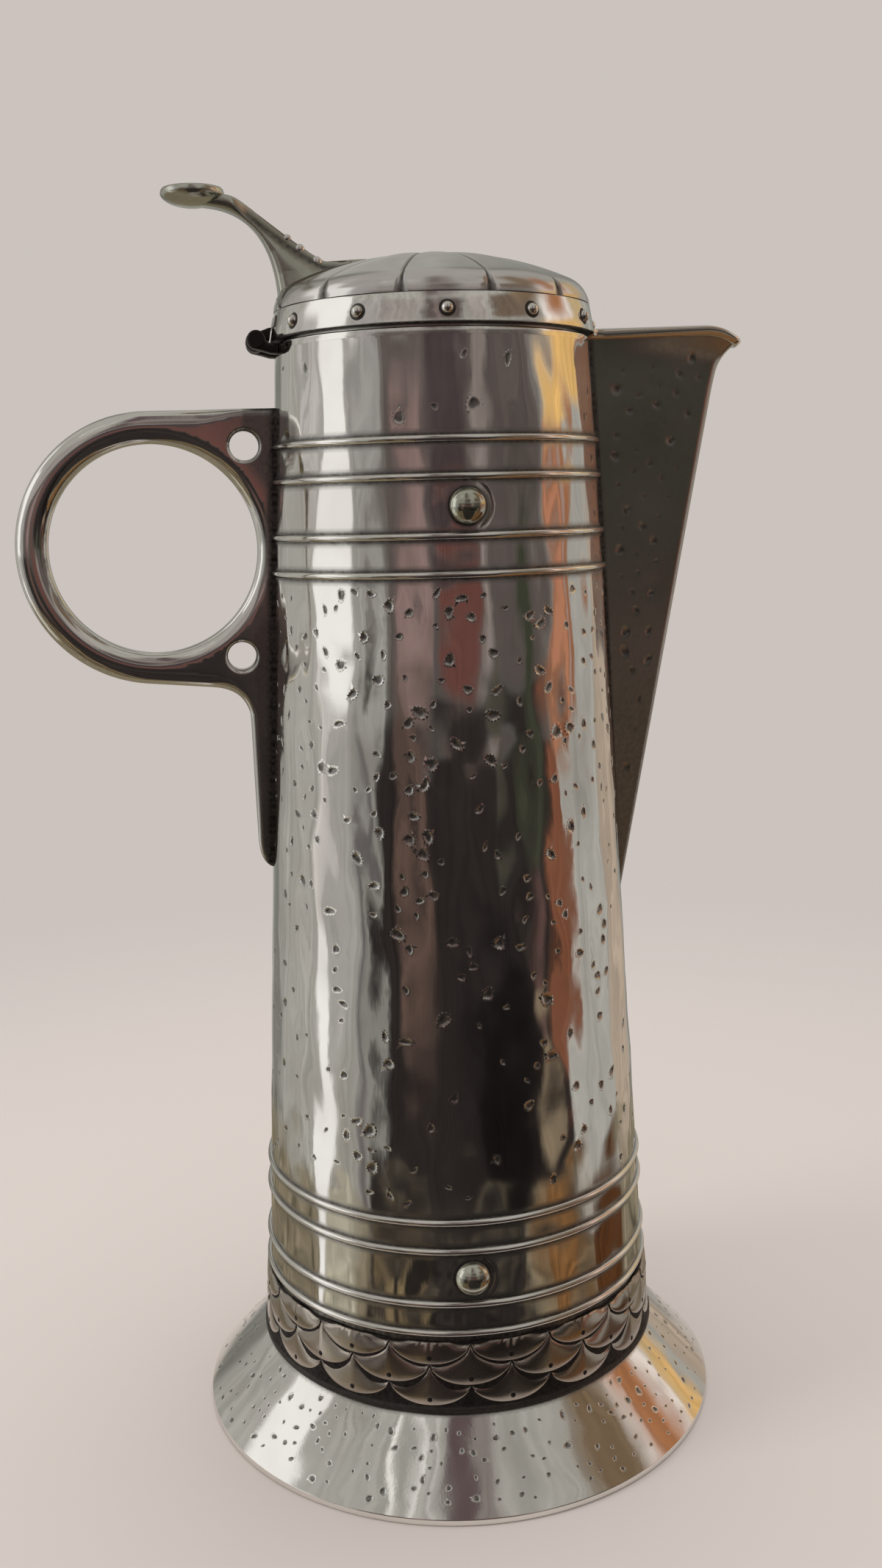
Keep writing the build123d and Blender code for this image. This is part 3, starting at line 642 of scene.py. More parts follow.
def triangulate(points, edges, keep, seam):
    """Triangles over flat points. Those whose middle isn't kept are dropped, and the seam is sewn up."""
    found = geometry.delaunay_2d_cdt([Vector(p) for p in points], edges, [], 0, 1e-7)
    source = [ids[0] for ids in found[3]]
    flat = np.asarray(points, float)
    triangles = []
    for face in found[2]:
        corners = [source[i] for i in face]
        middle = flat[corners].mean(0)
        if keep(middle[0], middle[1]):
            corners = [seam.get(i, i) for i in corners]
            if len(set(corners)) == 3:
                triangles.append(corners)
    return triangles


def sew(outer_count, outer, inner, shared):
    """Faces of a closed sheet: both skins, the inner one turned round, and quads on the free edges."""
    edges = dict.fromkeys((a, b) for t in outer for a, b in zip(t, t[1:] + t[:1]))
    free = [(a, b) for a, b in edges if (b, a) not in edges]
    faces = [tuple(t) for t in outer] + [tuple(i + outer_count for i in reversed(t)) for t in inner]
    rims = [(b, a, a + outer_count, b + outer_count) for a, b in free if a < shared and b < shared]
    print("free edges", len(free), "stray", len(free) - len(rims))
    return faces, rims


def only_used(points, faces, patina_and_painted_shade):
    """The points that some face uses, the faces with their new numbers, and the patina there."""
    used = sorted({i for face in faces for i in face})
    new = {old: i for i, old in enumerate(used)}
    patina_and_painted_shade = None if patina_and_painted_shade is None else patina_and_painted_shade[used]
    return points[used], [[new[i] for i in face] for face in faces], patina_and_painted_shade


def cone_sheet(name, low, high, reference, finish, border, outer_points, inner_points, keep, relief,
               edges=()):
    """A closed sheet on a cone between two (radius, height) edges.

    It is developed flat at a reference radius. The border points are shared by both skins.
    """
    (r0, z0), (r1, z1) = low, high
    length = math.hypot(r1 - r0, z1 - z0)
    tangent = np.array(((r1 - r0) / length, (z1 - z0) / length))
    normal = np.array((tangent[1], -tangent[0]))
    period = 2 * math.pi * reference
    left = {round(p[1], 4): i for i, p in enumerate(border) if abs(p[0]) < 1e-6}
    seam = {i: left[round(p[1], 4)] for i, p in enumerate(border) if abs(p[0] - period) < 1e-6}

    def skin(extra):
        points = list(border) + list(extra)
        return np.array(points, float), triangulate(points, list(edges), keep, seam)

    def place(flat, lift):
        turn = flat[:, 0] / reference - math.pi / 2
        r = r0 + tangent[0] * flat[:, 1] + normal[0] * lift
        z = z0 + tangent[1] * flat[:, 1] + normal[1] * lift
        return np.stack((r * np.sin(turn), -r * np.cos(turn), z), 1), turn, r

    def slope(ds, dv, step=0.04):
        s, v = outer_flat[:, 0], outer_flat[:, 1]
        ahead, behind = relief(s + ds * step, v + dv * step)[0], relief(s - ds * step, v - dv * step)[0]
        return (ahead - behind) / (2 * step)

    outer_flat, outer = skin(outer_points)
    inner_flat, inner = skin(inner_points)
    lift, patina_and_painted_shade = relief(outer_flat[:, 0], outer_flat[:, 1])
    outer_place, turn, r = place(outer_flat, lift)
    inner_place, inner_turn, _ = place(inner_flat, np.full(len(inner_flat), -WALL))
    slope_s = slope(1, 0) * reference / r
    sin, cos = np.sin(turn), np.cos(turn)
    up = np.stack((tangent[0] * sin, -tangent[0] * cos, np.full_like(sin, tangent[1])), 1)
    out = np.stack((normal[0] * sin, -normal[0] * cos, np.full_like(sin, normal[1])), 1)
    side = np.stack((cos, sin, np.zeros_like(sin)), 1)
    bent = out - up * slope(0, 1)[:, None] - side * slope_s[:, None]
    bent /= np.linalg.norm(bent, axis=1)[:, None]
    back = np.stack((-normal[0] * np.sin(inner_turn), normal[0] * np.cos(inner_turn),
                     np.full_like(inner_turn, -normal[1])), 1)
    faces, rims = sew(len(outer_flat), outer, inner, len(border))
    all_points = np.concatenate((outer_place, inner_place))
    all_normals = np.concatenate((bent, back))
    corner_normals = [all_normals[i] for face in faces for i in face]
    for rim in rims:
        a, b, c = (all_points[i] for i in rim[:3])
        flat_normal = np.cross(b - a, c - a)
        flat_normal /= max(np.linalg.norm(flat_normal), 1e-9)
        corner_normals += [flat_normal] * 4
    dark = np.concatenate((patina_and_painted_shade, np.full(len(inner_flat), -1.0)))
    points, faces, dark = only_used(all_points, faces + rims, dark)
    return make_mesh(name, points, faces, finish, patina_and_painted_shade=dark, corner_normals=corner_normals)


# %% [markdown]
# ## Body
# The lattice gets extra rows beside the ring wires, where the silver is dark, and leaves out the
# tall V where the spout opens into the body.

# %% Body
REF = 48.0
PERIOD = 2 * math.pi * REF
SPOUT_S = REF * math.pi          # the seam is under the handle, and the spout is half a turn on
BODY_LENGTH = math.hypot(body_radius(WIRE_BOTTOM) - BOTTOM_RADIUS, WIRE_BOTTOM - BODY_BOTTOM)
STRETCH = BODY_LENGTH / (WIRE_BOTTOM - BODY_BOTTOM)
BOSS_PLACES = [(height, REF * math.radians((turn + half_turn + 90) % 360))
               for half_turn in (0, 180) for height, turn in (UPPER_BOSS, LOWER_BOSS)]


def up_body(height):
    """Length up the developed body to a height."""
    return (height - BODY_BOTTOM) * STRETCH


def opening_half(height):
    """Half the opening's width in the flat development, at a height."""
    root = outside_length(height, -WALL, body_radius(height))
    at, total = half_section(height, -WALL)
    if total - root < 1e-3:
        return 0.0
    x, y = at(root)
    return REF * math.atan2(y, x)


opening_heights = [z for z in np.arange(139.0, WIRE_BOTTOM, 0.5) if opening_half(z) > 0.05]
opening_low = opening_heights[0]


def in_opening(s, v, more=0.0):
    z = BODY_BOTTOM + v / STRETCH
    return z > opening_low and abs(s - SPOUT_S) < opening_half(min(z, WIRE_BOTTOM)) + more


def body_pit_chance(s, v):
    z = BODY_BOTTOM + v / STRETCH
    if in_opening(s, v, 5.0) or min(s, PERIOD - s) < 5.5 and z > 150:
        return 0
    if abs(s - SPOUT_S) < 5 and z > 132:
        return 0
    share = (z - 72) / (234 - 72)
    return 0.40 + 0.60 * smoothstep(0.35, 0.95, share)


def neck_pit_chance(s, v):
    return 0 if in_opening(s, v, 4.0) or min(s, PERIOD - s) < 9 else 1


body_pits = scatter_pits(11, 640, (3, PERIOD - 3), (up_body(76), up_body(231)), 3.7,
                         body_pit_chance, (0.75, 1.65), (0.14, 0.26))
body_pits += scatter_pits(12, 16, (3, PERIOD - 3), (up_body(272), up_body(287)), 9.0,
                          neck_pit_chance, (1.0, 1.9), (0.05, 0.10))
body_waves = hand_waves(3, PERIOD, 20, (6.0, 26.0), 0.017)
planish = upright_waves(4, PERIOD, 22, (5.0, 20.0), 0.052)


def body_relief(s, v):
    lift, patina_and_painted_shade = pits_relief(s, v, body_pits)
    z = BODY_BOTTOM + v / STRETCH
    lift = lift + body_waves(s, v) + planish(s, v)
    for height in UPPER_RINGS + LOWER_RINGS:
        patina_and_painted_shade = np.maximum(patina_and_painted_shade, 0.95 * np.exp(-np.abs((z - height) / 1.75) ** 4))
    above_band = np.exp(-((z - 39.9) / 0.9) ** 2)
    patina_and_painted_shade = np.maximum(patina_and_painted_shade, 0.85 * above_band)
    for height, centre in BOSS_PLACES:
        ds = (s - centre) * body_radius(height) / REF
        reach = np.hypot(ds, z - height)
        patina_and_painted_shade = np.maximum(patina_and_painted_shade, 0.95 * np.exp(-((reach - 4.6) / 0.55) ** 2))
        crescent = np.exp(-((reach - 6.1) / 0.35) ** 2) * smoothstep(0.35, 0.8, ds / np.maximum(reach, 1e-3))
        lift = lift - 0.16 * crescent
        patina_and_painted_shade = np.maximum(patina_and_painted_shade, 0.75 * crescent)
    return lift, patina_and_painted_shade


def lattice(period, step_s, rows, border_gap, keep=None, pits=(), square=()):
    """Plain lattice points between the borders, away from the pits. Square rows aren't staggered."""
    points = []
    for number, v in enumerate(rows):
        offset = step_s / 2 if number % 2 and v not in square else 0
        for s in np.arange(step_s / 2 + offset, period - border_gap, step_s):
            points.append((s, v))
    points = np.array(points)
    ok = np.array([keep is None or keep(s, v) for s, v in points])
    for pit in pits:
        ok &= np.hypot(points[:, 0] - pit[0], points[:, 1] - pit[1]) > 1.6 * pit[2]
    return [tuple(p) for p in points[ok]]


columns = np.linspace(0, PERIOD, 101)
opening_top = opening_half(WIRE_BOTTOM)
low_row = [(s, 0.0) for s in columns]
top_row = [(s, BODY_LENGTH) for s in columns if abs(s - SPOUT_S) > opening_top + 1.0]
side_rows = np.linspace(0, BODY_LENGTH, 91)[1:-1]
sides = [(s, v) for s in (0.0, PERIOD) for v in side_rows]
gap_heights = list(np.arange(opening_low, WIRE_BOTTOM, 3.0)) + [WIRE_BOTTOM]
gap_left = [(SPOUT_S - opening_half(z), up_body(z)) for z in gap_heights]
gap_right = [(SPOUT_S + opening_half(z), up_body(z)) for z in reversed(gap_heights)]
border = low_row + top_row + sides
start, gap_count = len(border), len(gap_heights)
border += gap_left + gap_right
border_edges = [(start + i, start + i + 1) for i in range(2 * gap_count - 1) if i != gap_count - 1]
border_edges.append((start, start + 2 * gap_count - 1))

fine_rows = sorted({round(up_body(ring + off), 3) for ring in UPPER_RINGS + LOWER_RINGS
                    for off in (-2.6, -1.8, -1.2, 0, 1.2, 1.8, 2.6)})
plain_rows = [v for v in np.arange(3.0, BODY_LENGTH - 1.0, 3.0) if min(abs(v - f) for f in fine_rows) > 1.2]
ring_rows = [v for v in plain_rows
             if not LOWER_RINGS[0] + 4 <= BODY_BOTTOM + v / STRETCH <= UPPER_RINGS[-1] - 4]
rows = sorted(fine_rows + plain_rows + [BODY_LENGTH - 0.8, 18.6, 19.4, 20.2])


def clear_of_opening(s, v):
    return not in_opening(s, v, 1.2)


outer_points = lattice(PERIOD, 2.0, rows, 1.0, clear_of_opening, body_pits, fine_rows + ring_rows)
for height, centre_s in BOSS_PLACES:
    centre = (centre_s, up_body(height))
    outer_points = [p for p in outer_points if math.hypot(p[0] - centre[0], p[1] - centre[1]) > 7.2]
    scale = REF / body_radius(height)
    for reach in (3.9, 4.3, 4.7, 5.1, 5.6, 5.9, 6.2, 6.6, 7.0):
        outer_points += [(centre[0] + scale * reach * math.cos(a), centre[1] + reach * math.sin(a))
                         for a in np.linspace(0, 2 * math.pi, 41)[:-1]]
for pit in body_pits:
    outer_points += pit_points(pit)
inner_points = lattice(PERIOD, 6.0, np.arange(6.0, BODY_LENGTH - 2, 6.0), 2.0, clear_of_opening)
body_wall = cone_sheet("body_wall", (BOTTOM_RADIUS, BODY_BOTTOM), (body_radius(WIRE_BOTTOM), WIRE_BOTTOM),
                       REF, hammered_silver, border, outer_points, inner_points,
                       lambda s, v: not in_opening(s, v), body_relief, border_edges)
settle(body_wall, "jug", "hammered_silver", "body_shell")

# %% [markdown]
# ## Foot
# The foot is a second cone, spread wide, with the same pits. A thick rim stiffens its edge.

# %% Foot
FOOT_REF = 63.0
FOOT_PERIOD = 2 * math.pi * FOOT_REF
FOOT_LOW, FOOT_HIGH = (72.3, 2.0), (54.3, 20.6)     # radius and height of its two edges
FOOT_LENGTH = math.hypot(18.0, 18.6)                # 18.0 across and 18.6 up
foot_pits = scatter_pits(21, 360, (3, FOOT_PERIOD - 3), (2.5, FOOT_LENGTH - 3.5), 2.8,
                         lambda s, v: 1.0, (0.45, 1.05))
foot_waves = hand_waves(5, FOOT_PERIOD, 18, (7.0, 24.0), 0.026)


def foot_relief(s, v):
    lift, patina_and_painted_shade = pits_relief(s, v, foot_pits)
    edge = smoothstep(FOOT_LENGTH - 2.2, FOOT_LENGTH - 0.6, v)
    return lift + foot_waves(s, v) * smoothstep(0, 2, v), np.maximum(patina_and_painted_shade, 0.9 * edge)


columns = np.linspace(0, FOOT_PERIOD, 129)
sides = np.linspace(0, FOOT_LENGTH, 10)[1:-1]
border = ([(s, 0.0) for s in columns] + [(s, FOOT_LENGTH) for s in columns]
          + [(0.0, v) for v in sides] + [(FOOT_PERIOD, v) for v in sides])
foot_rows = [*np.arange(2.6, FOOT_LENGTH - 2.4, 2.6), *(FOOT_LENGTH - d for d in (2.2, 1.4, 0.7))]
outer_points = lattice(FOOT_PERIOD, 2.4, foot_rows, 1.0, pits=foot_pits)
for pit in foot_pits:
    outer_points += pit_points(pit)
inner_points = lattice(FOOT_PERIOD, 6.0, np.arange(6.0, FOOT_LENGTH - 3, 6.0), 2.0)
foot_wall = cone_sheet("foot_wall", FOOT_LOW, FOOT_HIGH, FOOT_REF, hammered_silver, border,
                       outer_points, inner_points, lambda s, v: True, foot_relief)
settle(foot_wall, "jug", "hammered_silver", "foot_skirt")

# %% [markdown]
# ## Turned pieces
# Rims, collar and dish are turned shapes: a short profile swept round an axis. A Screw modifier or
# Spin would do it too, but plain loops of points need no clean-up. A part sweep gets end caps.


# %% Turned pieces
def rounded(corners, radii, steps=4):
    """A closed profile with its corners rounded."""
    made = []
    count = len(corners)
    for i, corner in enumerate(corners):
        radius = radii[i] if isinstance(radii, (list, tuple)) else radii
        here = np.array(corner, float)
        before = np.array(corners[i - 1], float) - here
        after = np.array(corners[(i + 1) % count], float) - here
        run = min(radius, 0.48 * np.linalg.norm(before), 0.48 * np.linalg.norm(after))
        if run <= 0:
            made.append(tuple(here))
            continue
        a, b = here + before / np.linalg.norm(before) * run, here + after / np.linalg.norm(after) * run
        for k in range(steps + 1):
            t = k / steps
            made.append(tuple((1 - t) ** 2 * a + 2 * t * (1 - t) * here + t * t * b))
    return made


def turned_piece(name, profile, finish, segments=192, sweep=None, patina_and_painted_shade=None, sharp=35):
    """A closed (radius, height) profile, anticlockwise, swept round the upright axis."""
    closed = sweep is None
    turns = np.radians(np.linspace(0, 360, segments + 1)[:-1] if closed else np.linspace(*sweep, segments))
    points = [(r * math.sin(t), -r * math.cos(t), z) for t in turns for r, z in profile]
    faces = tube_faces(len(turns), len(profile), closed)
    dark = None if patina_and_painted_shade is None else [patina_and_painted_shade(r, z) for _ in turns for r, z in profile]
    return make_mesh(name, points, faces, finish, patina_and_painted_shade=dark, sharp=sharp)


rim_profile = rounded([(69.7, 0.0), (72.3, 0.0), (72.3, 2.0), (71.0, 3.0), (69.7, 2.6)],
                      [0.2, 0.7, 0.9, 0.3, 0.2])
foot_rim = turned_piece("foot_rim", rim_profile, polished_silver, 256)
settle(foot_rim, "jug", "polished_silver", "foot_skirt")

opening_turn = math.degrees(opening_half(WIRE_BOTTOM) / REF)
wire_profile = rounded([(39.9, 291.0), (41.22, 291.0), (41.16, 292.8), (39.85, 292.8)], [0.0, 0.0, 0.5, 0.3])
mouth_wire = turned_piece("mouth_wire", wire_profile, polished_silver, 180,
                          (90 + opening_turn, 450 - opening_turn))
settle(mouth_wire, "jug", "polished_silver", "mouth_rim_wire")

COLLAR_LOW, COLLAR_HIGH = (42.3, 293.4), (40.9, 300.8)     # radius and height of its outer edges
collar_profile = rounded([(39.5, 293.4), COLLAR_LOW, COLLAR_HIGH, (39.5, 300.8)], [0.1, 0.5, 0.3, 0.1], 3)
# the collar's top and bottom edges are darkened: painted shade along the seams above and below it, with the
# seams' own dark
collar = turned_piece("collar", collar_profile, polished_silver,
                      patina_and_painted_shade=lambda r, z: 0.9 if z < 293.7 or z > 300.65 else 0.0)
settle(collar, "lid", "polished_silver", "lid_collar")
bezel_profile = rounded([(38.5, 289.8), (39.5, 289.8), (39.5, 297.0), (38.5, 297.0)], 0.3, 2)
bezel = turned_piece("bezel", bezel_profile, plain_silver)
settle(bezel, "lid", "plain_silver", "lid_bezel")

# %% [markdown]
# ## Spout
# The beak is a grid: columns run from one root, over the keel, to the other root, and rows climb
# from the apex to the pouring edge. An inner skin makes it a real sheet, open at the top.


# %% Spout
def off_lid(x, y):
    """A place pushed in to the room that the lid's collar leaves."""
    reach = math.hypot(x, y)
    return x * LID_ROOM / reach, y * LID_ROOM / reach


SPOUT_START = 138.6


def spout_grid(grow, sunk, columns=65, rows=84):
    """Points of one skin of the beak, row by row up from its start."""
    grid = []
    shares = np.linspace(0, 1, columns)
    tops = [lip_point(u, 0, grow, sunk) for u in shares]
    for i in range(rows):
        t = (i / (rows - 1)) ** 0.9
        grid.append([spout_point(u, SPOUT_START + t * (top - SPOUT_START), grow, sunk)
                     for u, top in zip(shares, tops)])
    return grid


def finer(grid, times, axis):
    """The same smooth surface with more rows or columns, by Catmull-Rom curves."""
    rows = np.moveaxis(np.array(grid), axis, 0)
    rows = np.concatenate((2 * rows[:1] - rows[1:2], rows, 2 * rows[-1:] - rows[-2:-1]))
    a, b, c, d = rows[:-3], rows[1:-2], rows[2:-1], rows[3:]
    made = [b + 0.5 * t * (c - a + t * (2 * a - 5 * b + 4 * c - d + t * (3 * (b - c) + d - a)))
            for t in np.arange(times) / times]
    made = np.stack(made, 1).reshape(-1, *rows.shape[1:])
    return np.moveaxis(np.concatenate((made, rows[-2:-1])), 0, axis)


def beak_pits(grid):
    """Little hammer pits on both flanks, with the patina in them."""
    def chance(x, z):
        return 1.0 if body_radius(z) + 3.5 < x < keel(z) - 5 else 0.0

    dark = np.zeros(grid.shape[:2])
    for seed, side in ((31, -1), (32, 1)):
        pits = scatter_pits(seed, 46, (46.0, 74.0), (160.0, 288.0), 5.0, chance, (0.8, 1.7), (0.12, 0.22))
        lift, patina_and_painted_shade = pits_relief(grid[..., 0].ravel(), grid[..., 2].ravel(), pits)
        here = side * grid[..., 1] > 0.4
        grid[..., 1] += np.where(here, side * lift.reshape(dark.shape), 0)
        dark = np.maximum(dark, np.where(here, patina_and_painted_shade.reshape(dark.shape), 0))
    return grid, dark


def faint_dents(grid):
    """A few broad, shallow dents on the flanks."""
    for dent_x, dent_z, size in ((56.0, 266.0, 4.5), (63.0, 268.0, 3.6), (57.0, 281.0, 3.2),
                                 (58.0, 228.0, 4.5)):
        for row in grid:
            for k, (x, y, z) in enumerate(row):
                reach = math.hypot(x - dent_x, z - dent_z) / size
                if reach < 1:
                    row[k] = (x, y - math.copysign(0.07 * (1 - reach**2) ** 2, y), z)
    return grid


def beak_seam_and_darkening(points):
    """Dark in the seam on the body, and darker and rougher lower down on the flanks."""
    dark = []
    for x, y, z in points:
        off = math.hypot(x, y) - body_radius(z)
        seam = 0.9 * math.exp(-((off - 0.3) / 1.2) ** 2) if off < 5 else 0.0
        dark.append(max(seam, 0.58 * float(smoothstep(262, 190, z)), 0.42))
    return dark


outer_beak, pit_dark = beak_pits(finer(finer(faint_dents(spout_grid(0.0, 0.5)), 3, 0), 2, 1))
inner_beak = finer(finer(spout_grid(-WALL, 0.9), 3, 0), 2, 1)
beak_points = np.concatenate((outer_beak.reshape(-1, 3), inner_beak.reshape(-1, 3)))
# where the lid's collar swings, the ends of the flanks stop short of it
beak_points = [(x, y, z) if z < BODY_TOP or math.hypot(x, y) > LID_ROOM else (*off_lid(x, y), z)
               for x, y, z in beak_points]
outer_dark = np.maximum(beak_seam_and_darkening(beak_points[:pit_dark.size]), pit_dark.ravel())
beak_dark = np.concatenate((outer_dark, np.full(pit_dark.size, -1.0)))
beak = make_mesh("spout_beak_sheet", beak_points, sheet_faces(*pit_dark.shape), hammered_silver,
                 patina_and_painted_shade=beak_dark)
settle(beak, "jug", "hammered_silver", "spout_beak")

# %% [markdown]
# A flat strip is soldered outside the pouring edge. Its small section, with a rounded top, follows
# the edge round from flank to flank.

# %% Lip strip
strip_section = [(-0.1, 0.05), (-0.1, 2.6), (0.75, 2.6), (1.08, 2.42), (1.2, 2.1), (1.2, 1.0),
                 (1.02, 0.35), (0.6, 0.0), (0.2, -0.05)]      # proud of the sheet, below the edge
strip_shares = np.linspace(0, 1, 73)
strip_points = []
for u in strip_shares:
    for grow, drop in strip_section:
        x, y, z = spout_point(u, lip_point(u, drop, grow, 0.3), grow, 0.3)
        if z > BODY_TOP - 0.3 and math.hypot(x, y) < LID_ROOM:
            x, y = off_lid(x, y)
        strip_points.append((x, y, z))
strip_faces = tube_faces(len(strip_shares), len(strip_section), False)
strip = make_mesh("spout_lip_strip", strip_points, strip_faces, polished_silver, sharp=50)
settle(strip, "jug", "polished_silver", "spout_rim_strip")

# %% [markdown]
# ## Repeats with Geometry Nodes
# Studs, petals and scales are one small shape repeated round the jug's axis. A Geometry Nodes tree
# sets a copy at each step of the turn, so the count and the first turn stay numbers. The result is
# made a plain mesh, and the modifier goes.


# %% Repeat round the axis
def new_tree(name, *inputs):
    """A Geometry Nodes tree with a shape, some named inputs and a finish. It gives the inputs too."""
    tree = bpy.data.node_groups.new(name, "GeometryNodeTree")
    face = tree.interface
    for title, kind in (("Shape", "Geometry"), *inputs, ("Finish", "Material")):
        face.new_socket(title, in_out="INPUT", socket_type="NodeSocket" + kind)
    face.new_socket("Shape", in_out="OUTPUT", socket_type="NodeSocketGeometry")
    return tree, node(tree, "NodeGroupInput").outputs


def end_tree(tree, shape, finish):
    """The shape gets its finish and is the tree's result."""
    finished = node(tree, "GeometryNodeSetMaterial", {0: shape, "Material": finish})
    node(tree, "NodeGroupOutput", {0: finished.outputs[0]})
    return tree


def repeat_tree():
    tree, given = new_tree("repeat_round_axis", ("Count", "Int"), ("First Turn", "Float"),
                           ("Left Out", "Int"))
    line = node(tree, "GeometryNodeMeshLine", {"Offset": (0, 0, 0), "Count": given["Count"]})
    index = node(tree, "GeometryNodeInputIndex").outputs[0]
    left_out = node(tree, "FunctionNodeCompare", {2: index, 3: given["Left Out"]},
                    data_type="INT", operation="EQUAL")
    number = node(tree, "GeometryNodeStoreNamedAttribute",
                  {0: line.outputs[0], "Name": "place", "Value": index}, data_type="FLOAT", domain="POINT")
    drop = node(tree, "GeometryNodeDeleteGeometry", {0: number.outputs[0], "Selection": left_out.outputs[0]},
                domain="POINT")
    place = node(tree, "GeometryNodeInputNamedAttribute", {"Name": "place"}, data_type="FLOAT").outputs[0]
    step = math_node(tree, "DIVIDE", 2 * math.pi, given["Count"])
    turn = math_node(tree, "MULTIPLY_ADD", place, step, given["First Turn"])
    spin = node(tree, "ShaderNodeCombineXYZ", {2: turn})
    copies = node(tree, "GeometryNodeInstanceOnPoints",
                  {"Points": drop.outputs[0], "Instance": given["Shape"], "Rotation": spin.outputs[0]})
    real = node(tree, "GeometryNodeRealizeInstances", {0: copies.outputs[0]})
    merged = node(tree, "GeometryNodeMergeByDistance", {0: real.outputs[0], "Distance": 0.000004})
    return end_tree(tree, merged.outputs[0], given["Finish"])


REPEAT = repeat_tree()


def run_tree(piece, tree, inputs, sharp):
    """Sets the tree's named inputs, evaluates it and leaves a plain smooth mesh."""
    modifier = piece.modifiers.new("repeat", "NODES")
    modifier.node_group = tree
    for socket in tree.interface.items_tree:
        if socket.item_type == "SOCKET" and socket.in_out == "INPUT" and socket.name in inputs:
            modifier[socket.identifier] = inputs[socket.name]
    piece.update_tag()
    bpy.context.view_layer.update()
    found = piece.evaluated_get(bpy.context.evaluated_depsgraph_get())
    mesh = bpy.data.meshes.new_from_object(found)
    piece.modifiers.remove(modifier)
    old = piece.data
    piece.data = mesh
    mesh.name = piece.name
    if old.users == 0:
        bpy.data.meshes.remove(old)
    mesh.shade_smooth()
    mesh.set_sharp_from_angle(angle=math.radians(sharp))


def repeated(piece, count, first, finish, left_out=-1, sharp=35):
    """Copies of the piece round the axis from a first turn in degrees. One may be left out."""
    run_tree(piece, REPEAT, {"Count": count, "First Turn": math.radians(first), "Left Out": left_out,
                             "Finish": finish}, sharp)


# %% [markdown]
# ## Dome of the lid
# Twelve petals are chased into the dome. One petal is drawn as a wedge, from the middle of one
# chased line to the middle of the next, with a skin inside. It swells a little between the lines,
# and each line opens into a small triangle at the collar.

# %% Petals
SHOULDER, CROWN, DOME_EDGE, DOME_BASE = 6.0, 88.49, 40.8, 300.8
CROWN_CENTRE = 314.5 - CROWN
JOIN = math.atan2(DOME_BASE - CROWN_CENTRE, DOME_EDGE - SHOULDER)


def dome_profile(steps_low=14, steps_high=26):
    """(radius, height, normal) samples from the dome's edge to its middle."""
    made = []
    for k in range(steps_low):
        a = JOIN * k / steps_low
        made.append((DOME_EDGE - SHOULDER + SHOULDER * math.cos(a), DOME_BASE + SHOULDER * math.sin(a), a))
    for k in range(steps_high + 1):
        a = JOIN + (math.pi / 2 - JOIN) * k / steps_high
        made.append((CROWN * math.cos(a), CROWN_CENTRE + CROWN * math.sin(a), a))
    return made


def dome_height(reach):
    """Height of the smooth dome at a distance from the axis."""
    if reach < CROWN * math.cos(JOIN):
        return CROWN_CENTRE + math.sqrt(CROWN**2 - reach**2)
    return DOME_BASE + math.sqrt(max(SHOULDER**2 - (reach - DOME_EDGE + SHOULDER) ** 2, 0))


PETALS = 12
PETAL = 2 * math.pi / PETALS
SWELL, LINE_DEPTH, SUNK = 0.30, 0.42, 0.05          # how far a petal stands up, and its lines go in
TRIANGLE, LINE_WIDTH, TRIANGLE_TOP = 1.5, 0.45, 5.0
outer, inner, petal_dark = [], [], []
for r, z, a in dome_profile():
    half = r * PETAL / 2
    wide = LINE_WIDTH + TRIANGLE * smoothstep(TRIANGLE_TOP, 0.0, z - DOME_BASE)
    # five points over the chased line at each side, and six more from there to the middle
    line = [min(share * wide, half * i / 9) for i, share in enumerate((0, 0.3, 0.6, 1, 1.5))]
    line += [line[-1] + (half - line[-1]) * k / 6 for k in range(1, 7)]
    outer_row, inner_row = [], []
    for off in [d - half for d in line] + [half - d for d in reversed(line[:-1])]:
        turn = off / r if r > 1e-6 else 0.0
        across = off / half if half > 1e-6 else 0.0
        ridge = 1 - smoothstep(0, wide, half - abs(off)) if half > 1e-6 else 1.0
        fade = float(smoothstep(3.0, 8.0, r))
        lift = (SWELL * (1 - across * across) - LINE_DEPTH * ridge - SUNK) * fade
        rr, zz = r + lift * math.cos(a), z + lift * math.sin(a)
        outer_row.append((rr * math.sin(turn), -rr * math.cos(turn), zz))
        rr, zz = r - WALL * math.cos(a), max(z - WALL * math.sin(a), DOME_BASE)
        inner_row.append((rr * math.sin(turn), -rr * math.cos(turn), zz))
        petal_dark.append(float(0.9 * ridge * fade))
    outer.append(outer_row)
    inner.append(inner_row)
rows, columns = len(outer), len(outer[0])
total = rows * columns
points = [p for row in outer + inner for p in row]
faces = grid_faces(rows, columns) + grid_faces(rows, columns, total, True)
faces += [(k + 1, k, k + total, k + 1 + total) for k in range(columns - 1)]
dome = make_mesh("dome_petals", points, faces, dome_silver, patina_and_painted_shade=petal_dark + [0.1] * total)
repeated(dome, PETALS, 27.0, dome_silver, sharp=50)
settle(dome, "lid", "polished_silver", "lid_dome")

# %% [markdown]
# ## Studs
# Eleven little domes sit round the collar, each on a low dark disc that paints the shade round its
# foot. The place under the hinge's leaf stays bare.

# %% Studs
STUD_HEIGHT, STUD_RADIUS = 296.7, 1.5
STUDS, FIRST_STUD, BARE_STUD = 12, -3.0, 9
stud_share = (COLLAR_HIGH[1] - STUD_HEIGHT) / (COLLAR_HIGH[1] - COLLAR_LOW[1])
STUD_SEAT = COLLAR_HIGH[0] + stud_share * (COLLAR_LOW[0] - COLLAR_HIGH[0])   # the collar's radius there
COLLAR_LEAN = 0.187                            # radians


